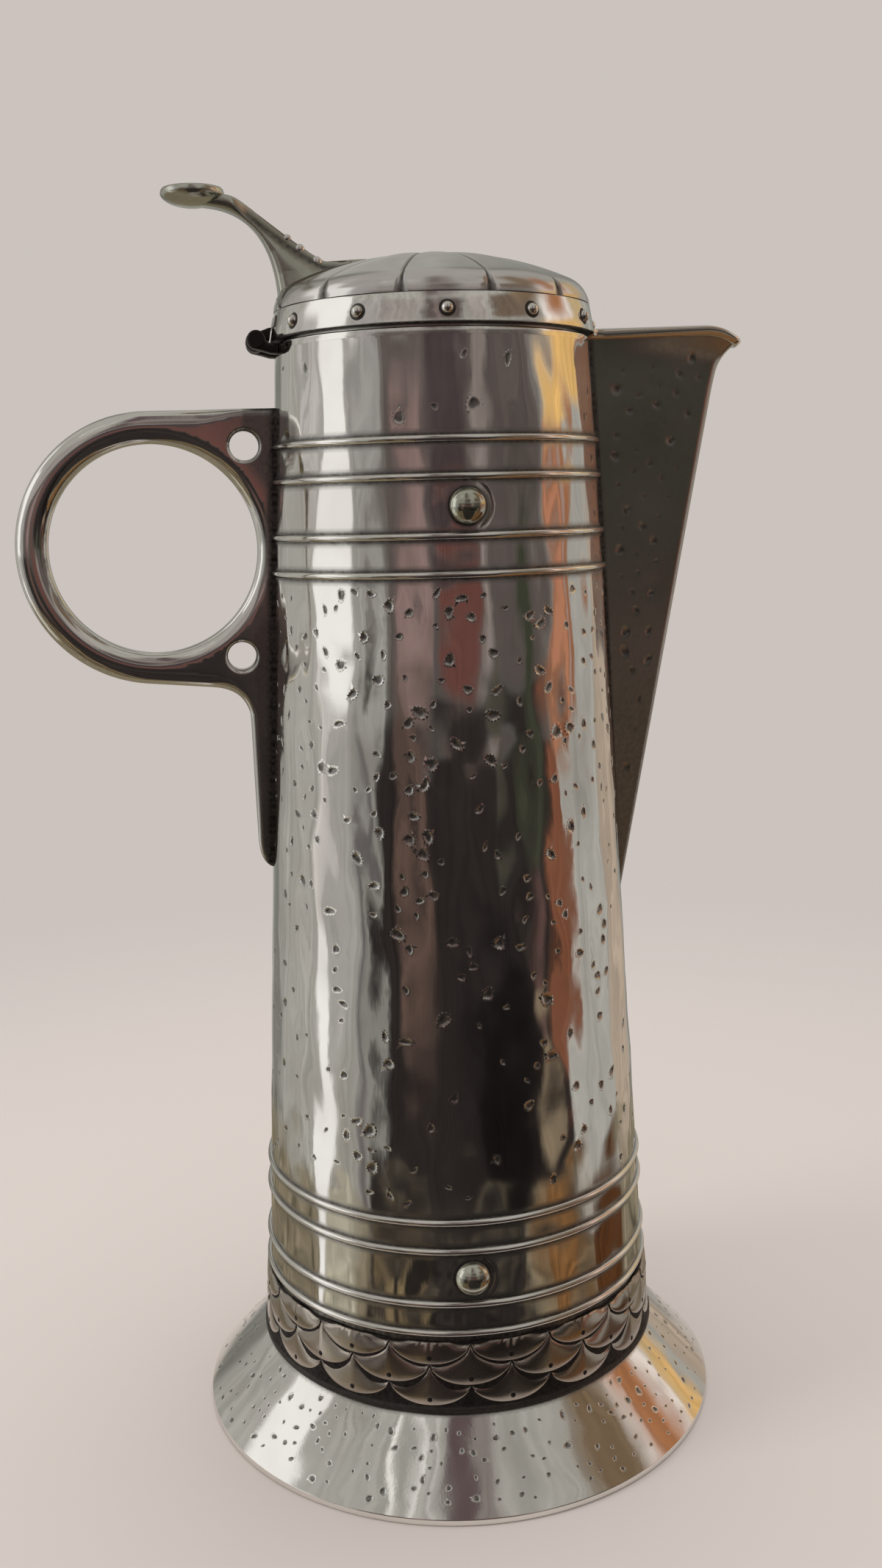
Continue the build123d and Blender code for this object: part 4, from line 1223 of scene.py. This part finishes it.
def dome_cap(radius, sag, rings=6, around=18, skirt=0.4):
    """A small dome on the front of the jug: (across, proud, up) with its flat side hidden."""
    points, faces = [(0.0, sag, 0.0)], []
    for i in range(1, rings + 1):
        a = math.pi / 2 * i / rings
        for k in range(around):
            t = 2 * math.pi * k / around
            points.append((radius * math.sin(a) * math.cos(t), sag * math.cos(a),
                           radius * math.sin(a) * math.sin(t)))
    points += [(p[0], -skirt, p[2]) for p in points[-around:]]
    faces += [(0, 1 + (k + 1) % around, 1 + k) for k in range(around)]
    for i in range(rings):
        faces += ring_faces(1 + i * around, around)
    faces.append(tuple(range(1 + rings * around, 1 + (rings + 1) * around)))
    return points, [tuple(reversed(face)) for face in faces]


def on_front(points, seat, height, lean):
    """Sets (across, proud, up) points against the front of the jug at a radius and height."""
    c, s = math.cos(lean), math.sin(lean)
    return [(x, -(seat + y * c - z * s), height + z * c + y * s) for x, y, z in points]


# the second, wider disc is a dark ring round each stud's foot: painted shade
for name, cap, finish, slot, shade in (
        ("collar_studs", dome_cap(STUD_RADIUS, STUD_RADIUS), polished_silver, "polished_silver", 0.0),
        ("stud_shade_rings", dome_cap(2.05, 0.10, 3, 24, 0.3), oxidised_silver, "oxidised_silver", 0.65)):
    stud = make_mesh(name, on_front(cap[0], STUD_SEAT, STUD_HEIGHT, COLLAR_LEAN), cap[1], finish,
                     patina_and_painted_shade=[shade] * len(cap[0]) if shade else None)
    repeated(stud, STUDS, FIRST_STUD, finish, BARE_STUD)
    settle(stud, "lid", slot, "lid_studs")

# %% [markdown]
# ## Ring wires
# Thin half-round wires go round the body. A wire is a path with a small round section swept along
# it, which Geometry Nodes' Curve to Mesh does from a handful of named sizes. The upper wires stop
# at the handle and at the spout, so each is two arcs.


# %% Ring wires
def wire_tree():
    tree, given = new_tree("wire_round_cone", *((name, "Float") for name in
                                                ("Radius", "Height", "Wire", "Start", "Sweep")))
    arc = node(tree, "GeometryNodeCurveArc", {"Resolution": 181, "Radius": given["Radius"],
                                              "Start Angle": given["Start"], "Sweep Angle": given["Sweep"]})
    lift = node(tree, "ShaderNodeCombineXYZ", {2: given["Height"]})
    moved = node(tree, "GeometryNodeTransform", {0: arc.outputs[0], "Translation": lift.outputs[0]})
    section = node(tree, "GeometryNodeCurvePrimitiveCircle", {"Resolution": 12, "Radius": given["Wire"]})
    swept = node(tree, "GeometryNodeCurveToMesh", {0: moved.outputs[0], 1: section.outputs[0],
                                                   "Fill Caps": True})
    real = node(tree, "GeometryNodeRealizeInstances", {0: swept.outputs[0]})
    return end_tree(tree, real.outputs[0], given["Finish"])


WIRE = wire_tree()
WIRE_RADIUS, WIRE_STAND_OFF = 0.88, 0.02


def wire(name, height, start, sweep):
    piece = make_mesh(name, [(0, 0, height)], [], polished_silver, sharp=0)
    run_tree(piece, WIRE, {"Radius": (body_radius(height) + WIRE_STAND_OFF) * MM, "Height": height * MM,
                           "Wire": WIRE_RADIUS * MM, "Start": math.radians(start),
                           "Sweep": math.radians(sweep), "Finish": polished_silver}, 60)
    return piece


HANDLE_ROOM = 3.2                              # a wire stops this far from the handle's middle plane
for number, height in enumerate(UPPER_RINGS, 1):
    root = outside_length(height, 0.0, body_radius(height) + 0.3)
    x, y = half_section(height, 0.0)[0](root)
    from_spout = math.degrees(math.atan2(y, x))
    from_handle = math.degrees(HANDLE_ROOM / body_radius(height))
    for side, start in (("back", from_spout), ("front", 180 + from_handle)):
        piece = wire(f"ring_upper_{number}_{side}", height, start, 180 - from_spout - from_handle)
        settle(piece, "jug", "polished_silver", f"upper_ring_{number}")
for number, height in enumerate(LOWER_RINGS, 1):
    piece = wire(f"ring_lower_{number}", height, 90, 360)
    settle(piece, "jug", "polished_silver", f"lower_ring_{number}")

# %% [markdown]
# ## Bosses
# A bright dome sits between the middle wires, front and back, above and below.

# %% Bosses
BODY_LEAN = 0.05                               # radians, the body's slope
BOSS_RADIUS, BOSS_SAG = 4.55, 3.5
cap_points, cap_faces = dome_cap(BOSS_RADIUS, BOSS_SAG, 12, 40, 0.6)
for label, (height, turn) in (("upper", UPPER_BOSS), ("lower", LOWER_BOSS)):
    boss = make_mesh(f"{label}_boss_domes", on_front(cap_points, body_radius(height), height, BODY_LEAN),
                     cap_faces, boss_silver,
                     patina_and_painted_shade=[0.75 * float(smoothstep(1.2, 0.3, p[1])) for p in cap_points])
    repeated(boss, 2, turn, boss_silver)
    settle(boss, "jug", "polished_silver", f"{label}_bosses")

# %% [markdown]
# ## Scale band
# Above the foot runs a band of fish scales: three rows of sixteen wide scales, each with a punched
# dot near its lower edge. One scale is a small curved plate with a lip, and the row above overlaps
# it. A plain backing ring closes the spaces between the tips.

# %% Scale band
BAND_TOP, ROW_DROP, SCALES = 39.3, 5.65, 16
BAND_TURN = -4.9                               # degrees
SCALE_LOW, SCALE_HIGH, BACKING_TOP = 20.7, 39.6, 39.7
DOT_RADIUS, DOT_SAG, DOT_UP, DOT_PROUD = 0.75, 0.16, 1.75, 0.98
top_radius = body_radius(BACKING_TOP)
backing_profile = rounded([(54.8, 20.6), (56.1, 20.6), (56.1, 21.6), (55.5, 22.6),
                           (top_radius + 0.35, BACKING_TOP), (top_radius + 0.1, BACKING_TOP)],
                          [0, 0.3, 0.4, 0.3, 0.2, 0], 3)
backing = turned_piece("band_backing", backing_profile, oxidised_silver,
                       patina_and_painted_shade=lambda r, z: 0.9 if z > 22.0 else 0.7)
settle(backing, "jug", "oxidised_silver", "scale_band")


def scale_arc(across):
    """Depth of a scale's lower edge, as a share of the row's drop: 0 in the cusps, 1 in the middle."""
    return (1 - abs(across) ** 2.2) ** (1 / 1.7)


def scale_plate(cusp_height):
    """One scale on the front: rows from its lower edge up to just under the row above."""
    half = math.pi * body_radius(cusp_height - 3) / SCALES
    points, dark = [], []
    columns = np.linspace(-1, 1, 29)
    # how a row's height is given (up from the edge, as a share, or under the next row), and its lift
    rows = (("up", -0.10, 0.05), ("up", 0.0, 0.45), ("up", 0.10, 0.68), ("up", 0.40, 0.78),
            ("share", 0.30, 0.74), ("share", 0.62, 0.60), ("under", 1.5, 0.46), ("under", 0.95, 0.36),
            ("under", 0.45, 0.20), ("under", -0.35, 0.10))
    for c in columns:
        low = cusp_height - ROW_DROP * scale_arc(c)
        high = cusp_height + ROW_DROP * (1 - scale_arc(1 - abs(c)))
        room = max(high - low, 0.05)
        for kind, size, lift in rows:
            if kind == "up":
                z = low + min(size, 0.15 * room)
            elif kind == "share":
                z = low + size * room
            else:
                z = max(high - size, low + 0.7 * room) if size > 0 else high - size
            crown = 0.16 * (1 - c * c) if lift > 0.3 else 0.0
            r = body_radius(z) + 0.12 + lift + crown
            turn = c * half / body_radius(cusp_height - 3)
            points.append((r * math.sin(turn), -r * math.cos(turn), min(max(z, SCALE_LOW), SCALE_HIGH)))
            # the plate darkens just under the row above: painted shade from the overlap, with some patina in
            # the gap; its lip edge is dark too
            shade = math.exp(-(max(high - z, 0) / 0.62) ** 2)
            dark.append(max(0.95 * shade, 0.9 if kind == "up" and lift < 0.5 else 0.0, 0.12))
    n = len(rows)
    faces = [(i * n + k, (i + 1) * n + k, (i + 1) * n + k + 1, i * n + k + 1)
             for i in range(len(columns) - 1) for k in range(n - 1)]
    return points, faces, dark


for number in range(3):
    cusp = BAND_TOP - ROW_DROP * number
    points, faces, dark = scale_plate(cusp)
    first = BAND_TURN + (0 if number == 1 else 180 / SCALES)
    plate = make_mesh(f"band_scales_{number + 1}", points, faces, band_silver_painted_reflection, patina_and_painted_shade=dark)
    repeated(plate, SCALES, first, band_silver_painted_reflection, sharp=60)
    settle(plate, "jug", "oxidised_silver", "scale_band")
    dot_points, dot_faces = dome_cap(DOT_RADIUS, DOT_SAG, 3, 12, 0.2)
    dot_height = cusp - ROW_DROP + DOT_UP
    dot_points = on_front(dot_points, body_radius(dot_height) + DOT_PROUD, dot_height, BODY_LEAN)
    dot = make_mesh(f"band_dots_{number + 1}", dot_points, dot_faces, oxidised_silver,
                    patina_and_painted_shade=[0.9] * len(dot_points))
    repeated(dot, SCALES, first, oxidised_silver)
    settle(dot, "jug", "oxidised_silver", "scale_band")

# %% [markdown]
# ## Castings drawn from the side
# The handle and the thumb lever are castings that read best from the side. Their side view is
# filled with points, and a thickness is given at each of them that falls away near the edge, so the
# edges come out rounded. The two faces and the edge are sewn into one closed skin.


# %% Castings
def distance_field(points, loops):
    """Distance from points to some open or closed polylines."""
    best = np.full(len(points), 1e9)
    for loop in loops:
        loop = np.asarray(loop, float)
        for a, b in zip(loop[:-1], loop[1:]):
            ab = b - a
            t = np.clip(((points - a) @ ab) / max(ab @ ab, 1e-12), 0, 1)
            best = np.minimum(best, np.hypot(*(points - a - t[:, None] * ab).T))
    return best


def inside(points, loop):
    """Which points lie inside a closed loop."""
    loop = np.asarray(loop, float)
    hit = np.zeros(len(points), bool)
    x, y = points[:, 0], points[:, 1]
    for a, b in zip(loop, np.roll(loop, -1, 0)):
        crosses = (a[1] > y) != (b[1] > y)
        with np.errstate(divide="ignore", invalid="ignore"):
            at = a[0] + (y - a[1]) / (b[1] - a[1]) * (b[0] - a[0])
        hit ^= crosses & (x < at)
    return hit


def edge_fall(depth, soft):
    """1 on an edge, falling to 0 at a soft depth inside it along a quarter circle."""
    t = 1 - np.clip(depth / soft, 0, 1)
    return 1 - np.sqrt(np.clip(1 - t * t, 0, 1))


def depth_inside(points, outline):
    """Distance to a closed outline, and 0 outside it."""
    return np.where(inside(points, outline), distance_field(points, [outline + outline[:1]]), 0.0)


def resampled(loop, step):
    """A closed loop with points about a step apart."""
    made = []
    loop = [np.array(p, float) for p in loop]
    for a, b in zip(loop, loop[1:] + loop[:1]):
        count = max(1, int(round(np.linalg.norm(b - a) / step)))
        made += [tuple(a + (b - a) * k / count) for k in range(count)]
    return made


NET = 1.2                                      # spacing of a casting's plain points


def casting(name, outline, holes, thickness, finish, step, insets, after=None, patina_and_painted_shade=None):
    """A closed skin from a side view in (x, height). thickness(points) is half the width there."""
    loops = [resampled(loop, step) for loop in (outline, *holes)]
    points, edges = [], []
    for loop in loops:
        base = len(points)
        points += loop
        edges += [(base + i, base + (i + 1) % len(loop)) for i in range(len(loop))]
    border = len(points)
    flat_loops = [np.array(loop + loop[:1]) for loop in loops]

    def in_plate(places):
        within = inside(places, loops[0])
        for hole in loops[1:]:
            within &= ~inside(places, hole)
        return within

    # rows of points beside every edge, on both sides, of which those too near to an edge go
    extra, wanted = [], []
    for loop in map(np.array, loops):
        along = np.roll(loop, -1, 0) - np.roll(loop, 1, 0)
        along /= np.linalg.norm(along, axis=1)[:, None]
        sideways = np.stack((-along[:, 1], along[:, 0]), 1)
        for inset in insets:
            for way in (-1, 1):
                extra.append(loop + sideways * inset * way)
                wanted += [inset] * len(loop)
    low, high = np.array(outline).min(0), np.array(outline).max(0)
    net = np.stack(np.meshgrid(np.arange(low[0], high[0], NET), np.arange(low[1], high[1], NET)), -1)
    net = net.reshape(-1, 2)
    net[:, 0] += NET / 2 * (np.round((net[:, 1] - low[1]) / NET) % 2)
    candidates = np.concatenate(extra)
    good = distance_field(candidates, flat_loops) > np.array(wanted) - 0.02
    candidates = np.concatenate((candidates[good], net[distance_field(net, flat_loops) > max(insets) + 0.5]))
    points = np.array(points + [tuple(p) for p in candidates[in_plate(candidates)]])
    found = geometry.delaunay_2d_cdt([Vector(p) for p in points], edges, [], 0, 1e-6)
    source = [ids[0] for ids in found[3]]
    triangles = np.array([[source[i] for i in f] for f in found[2]])
    triangles = [list(t) for t in triangles[in_plate(points[triangles].mean(1))]]

    def slope(way, nudge=0.03):
        by = np.array(way) * nudge
        return (thickness(points + by) - thickness(points - by)) / (2 * nudge)

    half = thickness(points)
    front = np.stack((points[:, 0], -half, points[:, 1]), 1)
    normal = np.stack((-slope((1, 0)), -np.ones(len(points)), -slope((0, 1))), 1)
    normal /= np.linalg.norm(normal, axis=1)[:, None]
    mirror = np.array((1, -1, 1))
    faces, rims = sew(len(points), triangles, triangles, border)
    every = np.concatenate((front, front * mirror))
    if after is not None:
        every = after(every)
    normals = np.concatenate((normal, normal * mirror))
    corner_normals = [normals[i] for face in faces for i in face]
    for rim in rims:
        for i in rim:
            n = normals[i] * np.array((1, 0.15, 1))
            corner_normals.append(n / max(np.linalg.norm(n), 1e-9))
    dark = None if patina_and_painted_shade is None else patina_and_painted_shade(every)
    points, faces, dark = only_used(every, faces + rims, dark)
    return make_mesh(name, points, faces, finish, patina_and_painted_shade=dark, corner_normals=corner_normals)


def arc_points(centre, radius, start, end, count):
    return [(centre[0] + radius * math.cos(math.radians(a)), centre[1] + radius * math.sin(math.radians(a)))
            for a in np.linspace(start, end, count)]


def bezier(a, b, c, d, count):
    """Points on a curve from a to d that b and c pull on."""
    a, b, c, d = (np.array(p, float) for p in (a, b, c, d))
    return [tuple((1 - t) ** 3 * a + 3 * (1 - t) ** 2 * t * b + 3 * (1 - t) * t * t * c + t**3 * d)
            for t in np.linspace(0, 1, count)]


# %% [markdown]
# ## Handle
# A ring for a finger is joined to the body by a flat web with two small holes, and ends in a tail
# that lies down the body. The ring is nearly round in section and the web is flat with soft edges.

# %% Handle
RING = (-74.81, 241.8)
RING_OUT, RING_IN = 35.2, 26.8
HOLE_RADIUS, HOLES_OUT, HOLE_TURNS = 3.8, 35.7, (46.5, -53.1)
HALF_THICK, JOIN_IN = 3.5, 0.9                 # the web goes a little into the body's wall
small_holes = [arc_points(RING, HOLES_OUT, a, a, 1)[0] for a in HOLE_TURNS]
free_edge = [(-(body_radius(277.0) - JOIN_IN), 277.0), (RING[0], 277.0)]
free_edge += arc_points(RING, RING_OUT, 90, 264.4, 90)[1:]
free_edge += bezier((-61.5, 205.12), (-56.0, 204.6), (-53.0, 202.5), (-51.9, 197.5), 14)
free_edge += bezier((-51.8, 194.0), (-51.7, 184.0), (-51.6, 174.0), (-51.4, 163.5), 12)
free_edge += bezier((-51.35, 162.0), (-51.1, 158.6), (-49.7, 155.9), (-47.6, 155.4), 8)
inner_edge = [(-(body_radius(z) - JOIN_IN), z) for z in np.linspace(155.6, 276.5, 60)]
bore = arc_points(RING, RING_IN, 0, 360, 181)[:-1]
hole_loops = [arc_points(hole, HOLE_RADIUS, 0, 360, 41)[:-1] for hole in small_holes]


def web_share(x, z, low, high):
    """0 on the ring and 1 on the flat web between the ring and the body."""
    from_ring = np.hypot(x - RING[0], z - RING[1])
    return smoothstep(RING[0] + 12, RING[0] + 26, x) * smoothstep(low, high, from_ring)


def handle_half(points):
    """Half the handle's thickness at some points of its side view."""
    edge = distance_field(points, [free_edge, bore + bore[:1]])
    signed = np.where(inside(points, free_edge + inner_edge) & ~inside(points, bore), edge, 0.0)
    web = web_share(points[:, 0], points[:, 1], 30.0, 34.5)
    half = HALF_THICK - (3.3 - 1.9 * web) * edge_fall(signed, 4.2 - 2.4 * web)
    for hole in small_holes:
        off = np.hypot(points[:, 0] - hole[0], points[:, 1] - hole[1]) - HOLE_RADIUS
        half = np.minimum(half, HALF_THICK - 0.55 * (1 - smoothstep(0.0, 0.9, off)))
    tail = smoothstep(175, 158, points[:, 1])
    return half * (1 - 0.25 * tail)


def handle_seam_and_painted_shade(points):
    """Dark where the handle meets the body, its seam with painted shade, and a little painted dark reflection
    on the web.
    """
    x, z = points[:, 0], points[:, 2]
    off = np.hypot(x, points[:, 1]) - body_radius(z)
    # painted shade along the join with the body, over its dark seam
    seam = 0.92 * np.exp(-(np.clip(off, 0, 9) / 2.4) ** 4)
    web = web_share(x, z, 30.5, 35.0)
    # the web: a painted dark reflection, less on its outer edge
    return np.maximum(seam, 0.35 * web * smoothstep(-50.9, -50.0, x) + 0.25 * web)


handle = casting("handle", free_edge + inner_edge, [bore] + hole_loops, handle_half, polished_silver, 0.9,
                 (0.06, 0.22, 0.5, 0.9, 1.5, 2.3, 3.3), patina_and_painted_shade=handle_seam_and_painted_shade)
settle(handle, "jug", "polished_silver", "handle_casting")

# %% [markdown]
# ## Thumb lever
# The lever grows out of a leaf on the dome, bends back over the hinge and carries a round dished
# touch-piece.

# %% Thumb lever
DISC = (-60.1, 329.6)
DISC_RADIUS, DISC_SAG = 8.0, 3.1
TOE, BROW = (-27.8, 312.8), (-48.7, 328.5)     # the two ends of the front slope
lever_outline = bezier((-39.3, 299.9), (-39.3, 317.5), (-45.5, 326.3), (-58.5, 326.8), 26)
lever_outline += [(-58.0, 328.6), (-55.0, 329.2)]
lever_outline += bezier((-53.5, 329.6), (-51.0, 329.4), (-49.0, 328.7), (-46.5, 326.9), 8)
lever_outline += bezier((-45.8, 326.3), (-37.0, 319.6), (-33.0, 316.4), (-27.6, 313.5), 16)[1:]
lever_outline += bezier((-27.0, 313.4), (-24.0, 313.5), (-20.0, 313.9), (-16.6, 314.0), 6)
lever_outline += [(-16.8, 310.5), (-24.0, 307.0), (-32.0, 303.5), (-38.0, 299.9)]
lever_outline = list(reversed(lever_outline))
lever_slope = [(-48.0, 328.2), (-45.8, 326.3), (-40.6, 322.1), (-36.4, 318.9), (-33.0, 316.6),
               (-27.6, 313.5), (-22.0, 313.2)]
# half widths, by height for the stem and by place from the axis for the leaf
STEM_WIDTHS = ((299.0, 9.6), (302.2, 9.2), (303.6, 8.2), (305.4, 6.6), (310.0, 4.5), (315.5, 3.6),
               (340.0, 3.3))
LEAF_WIDTHS = ((-40.0, 9.6), (-36.0, 8.1), (-32.0, 5.9), (-29.8, 4.8), (-26.0, 3.2), (-22.8, 2.1),
               (-19.5, 0.9), (-17.5, 0.2))


def lever_half(points):
    """Half the lever's thickness at some points of its side view."""
    x, z = points[:, 0], points[:, 1]
    behind, plan = np.interp(z, *zip(*STEM_WIDTHS)), np.interp(x, *zip(*LEAF_WIDTHS))
    width = np.minimum(behind, plan + 1.4 * smoothstep(313, 322, z))
    width = width - np.minimum(1.5, 0.6 * width) * edge_fall(depth_inside(points, lever_outline), 2.0)
    # towards the slope the faces lean in like a roof, so that the beads ride on a narrow ridge
    part = smoothstep(-51, -46, x) * smoothstep(-18, -23, x)
    roof = 0.45 + 0.80 * distance_field(points, [lever_slope])
    lower = -0.55 * np.log(np.exp(-width / 0.55) + np.exp(-roof / 0.55))
    return width * (1 - part) + np.clip(lower, 0.2, None) * part


def lever_dark_band(points):
    """A dark band beside the ridge."""
    x = points[:, 0]
    off = distance_field(points[:, [0, 2]], [lever_slope])
    band = np.exp(-((off - 1.9) / 1.2) ** 2) * smoothstep(-49, -46, x) * smoothstep(-21, -25, x)
    return np.maximum(0.85 * band, 0.12)


def onto_dome(points):
    """Anything sunk in the dome stops inside its sheet."""
    made = points.copy()
    for i, (x, y, z) in enumerate(points):
        low = dome_height(math.hypot(x, y)) - 0.8
        if z < low:
            made[i, 2] = low
    return made


lever = casting("lever", lever_outline, [], lever_half, lever_silver, 0.6, (0.06, 0.25, 0.6, 1.1, 1.7),
                after=onto_dome, patina_and_painted_shade=lever_dark_band)
settle(lever, "lid", "polished_silver", "thumb_lever")

# the leaf that lies on the dome under the lever, with a crisp edge: a skin on top and one below
LEAF_REACH = ((-40.2, 9.2), (-39.3, 10.4), (-36.0, 9.6), (-32.0, 7.8), (-29.8, 6.7), (-26.0, 4.9),
              (-22.8, 3.6), (-19.5, 1.9), (-17.2, 0.2))
LEAF_ROOM, LEAF_LOW = 40.7, 300.85             # it stays inside the collar's edge, and above it
leaf_points, leaf_dark = [], []
leaf_x = np.concatenate((np.linspace(-40.2, -38.6, 4), np.linspace(-38.0, -18.2, 26), (-17.6, -17.2)))
leaf_v = np.linspace(-1, 1, 25)
for lift, shade in ((0.78, 0.30), (-0.6, 0.9)):
    for x in leaf_x:
        reach = float(np.interp(x, *zip(*LEAF_REACH)))
        for y in reach * leaf_v:
            x_here = -math.sqrt(LEAF_ROOM**2 - y * y) if math.hypot(x, y) > LEAF_ROOM else x
            leaf_points.append((x_here, y, max(dome_height(math.hypot(x_here, y)) + lift, LEAF_LOW)))
            leaf_dark.append(shade)
leaf_faces = sheet_faces(len(leaf_x), len(leaf_v), flip=True)
lever_foot = make_mesh("lever_foot", leaf_points, leaf_faces, lever_silver, sharp=40, patina_and_painted_shade=leaf_dark)
settle(lever_foot, "lid", "polished_silver", "thumb_lever")


def disc_profile():
    """(radius, height) from the middle below, round the rim and down into the dish."""
    low = DISC[1]
    below = [(DISC_RADIUS * math.sin(a), low - DISC_SAG * math.cos(a) ** 1.2)
             for a in np.linspace(0, math.pi / 2, 14)]
    rim = [(8.0, low + 0.3), (7.85, low + 0.95), (7.55, low + 1.35), (7.1, low + 1.48), (6.6, low + 1.25)]
    dish = [(6.1 * (1 - k / 10), low + 0.25 + 0.75 * (1 - k / 10) ** 2) for k in range(11)]
    return below + rim + dish


def lens_disc(around=72):
    profile = disc_profile()
    points = [(DISC[0], 0, profile[0][1])]
    for r, z in profile[1:-1]:
        points += [(DISC[0] + r * math.cos(a), r * math.sin(a), z)
                   for a in np.linspace(0, 2 * math.pi, around + 1)[:-1]]
    points.append((DISC[0], 0, profile[-1][1]))
    faces = [(0, 1 + (k + 1) % around, 1 + k) for k in range(around)]
    for i in range(len(profile) - 3):
        faces += ring_faces(1 + i * around, around)
    last = len(points) - 1
    faces += [(last, last - around + k, last - around + (k + 1) % around) for k in range(around)]
    return points, faces


disc = make_mesh("touch_disc", *lens_disc(), lever_silver, sharp=40)
settle(disc, "lid", "polished_silver", "thumb_disc")

# %% [markdown]
# ## Hinge
# A short leaf climbs the back of the collar and ends in an arm with the middle knuckle. Two lugs
# with rounded backs hold the pin, one on each side of the arm.

# %% Hinge
PIN, KNUCKLE, LUG_BACK = (-46.0, 293.6), 2.55, 2.35
ARM_HALF, LUG_HALF, LUG_SHIFT = 2.6, 2.55, 5.42
strip_profile = rounded([(41.0, 296.8), (41.95, 296.8), (41.45, 299.5), (40.8, 299.5)], 0.2, 2)
leaf_strip = turned_piece("hinge_leaf_strip", strip_profile, polished_silver, 24, (-99.5, -80.5),
                          patina_and_painted_shade=lambda r, z: 0.5 if z < 297.2 else 0.1)
settle(leaf_strip, "lid", "polished_silver", "lid_hinge_leaf")
arm_outline = [(-42.45, 293.9), (-41.9, 297.0), (-42.5, 297.0), (-44.7, 296.2)]
arm_outline += arc_points(PIN, KNUCKLE, 66, 366, 40)
hinge_arm = casting("hinge_arm", arm_outline, [],
                    lambda points: ARM_HALF - 0.4 * edge_fall(depth_inside(points, arm_outline), 0.5),
                    hinge_black, 0.4, (0.05, 0.15, 0.3, 0.5))
settle(hinge_arm, "lid", "oxidised_silver", "lid_hinge_leaf")
lug_outline = arc_points(PIN, LUG_BACK, 34, 258, 36)
lug_outline += [(-44.4, 290.8), (-42.4, 290.2), (-40.6, 290.1), (-40.4, 292.6), (-42.9, 292.8),
                (-43.5, 293.4)]
for side, shift in (("near", -LUG_SHIFT), ("far", LUG_SHIFT)):
    lug = casting("hinge_lug_" + side, lug_outline, [],
                  lambda points: LUG_HALF - 0.7 * edge_fall(depth_inside(points, lug_outline), 0.8),
                  hinge_black, 0.4, (0.05, 0.2, 0.45, 0.8),
                  after=lambda points, shift=shift: points + np.array((0, shift, 0)))
    settle(lug, "jug", "oxidised_silver", "hinge_bracket")

# %% [markdown]
# ## Beads
# Three beads ride on the ridge of the lever's front slope, each smaller than the one below it.

# %% Beads
bead_points, bead_faces = [], []
slope = math.atan2(BROW[1] - TOE[1], BROW[0] - TOE[0])
for up, radius, sunk in ((1.6, 1.7, 0.9), (6.9, 1.5, 0.8), (10.9, 1.1, 0.4)):
    centre = (TOE[0] + up * math.cos(slope) - sunk * math.sin(math.pi - slope),
              TOE[1] + up * math.sin(slope) + sunk * math.cos(slope))
    shape = bmesh.new()
    bmesh.ops.create_uvsphere(shape, u_segments=24, v_segments=16, radius=radius,
                              matrix=Matrix.Translation((centre[0], 0, centre[1])))
    base = len(bead_points)
    bead_points += [tuple(v.co) for v in shape.verts]
    bead_faces += [tuple(base + v.index for v in f.verts) for f in shape.faces]
    shape.free()
beads = make_mesh("lever_beads", bead_points, bead_faces, polished_silver)
settle(beads, "lid", "polished_silver", "thumb_beads")

# %% [markdown]
# ## What stays from the CAD model
# The floor of the vessel, the plate under the foot and the pin of the hinge are right as they are.
# They only need their finish.

# %% Finishes on the CAD nodes
for name, finish in (("vessel_floor", plain_silver), ("base_plate", plain_silver),
                     ("hinge_pin", hinge_black)):
    kept = nodes_in_frame[name]
    if not kept.data.materials:
        kept.data.materials.append(finish)
    for place in kept.material_slots:
        place.material = finish
    print("kept", name, "as", finish.name)
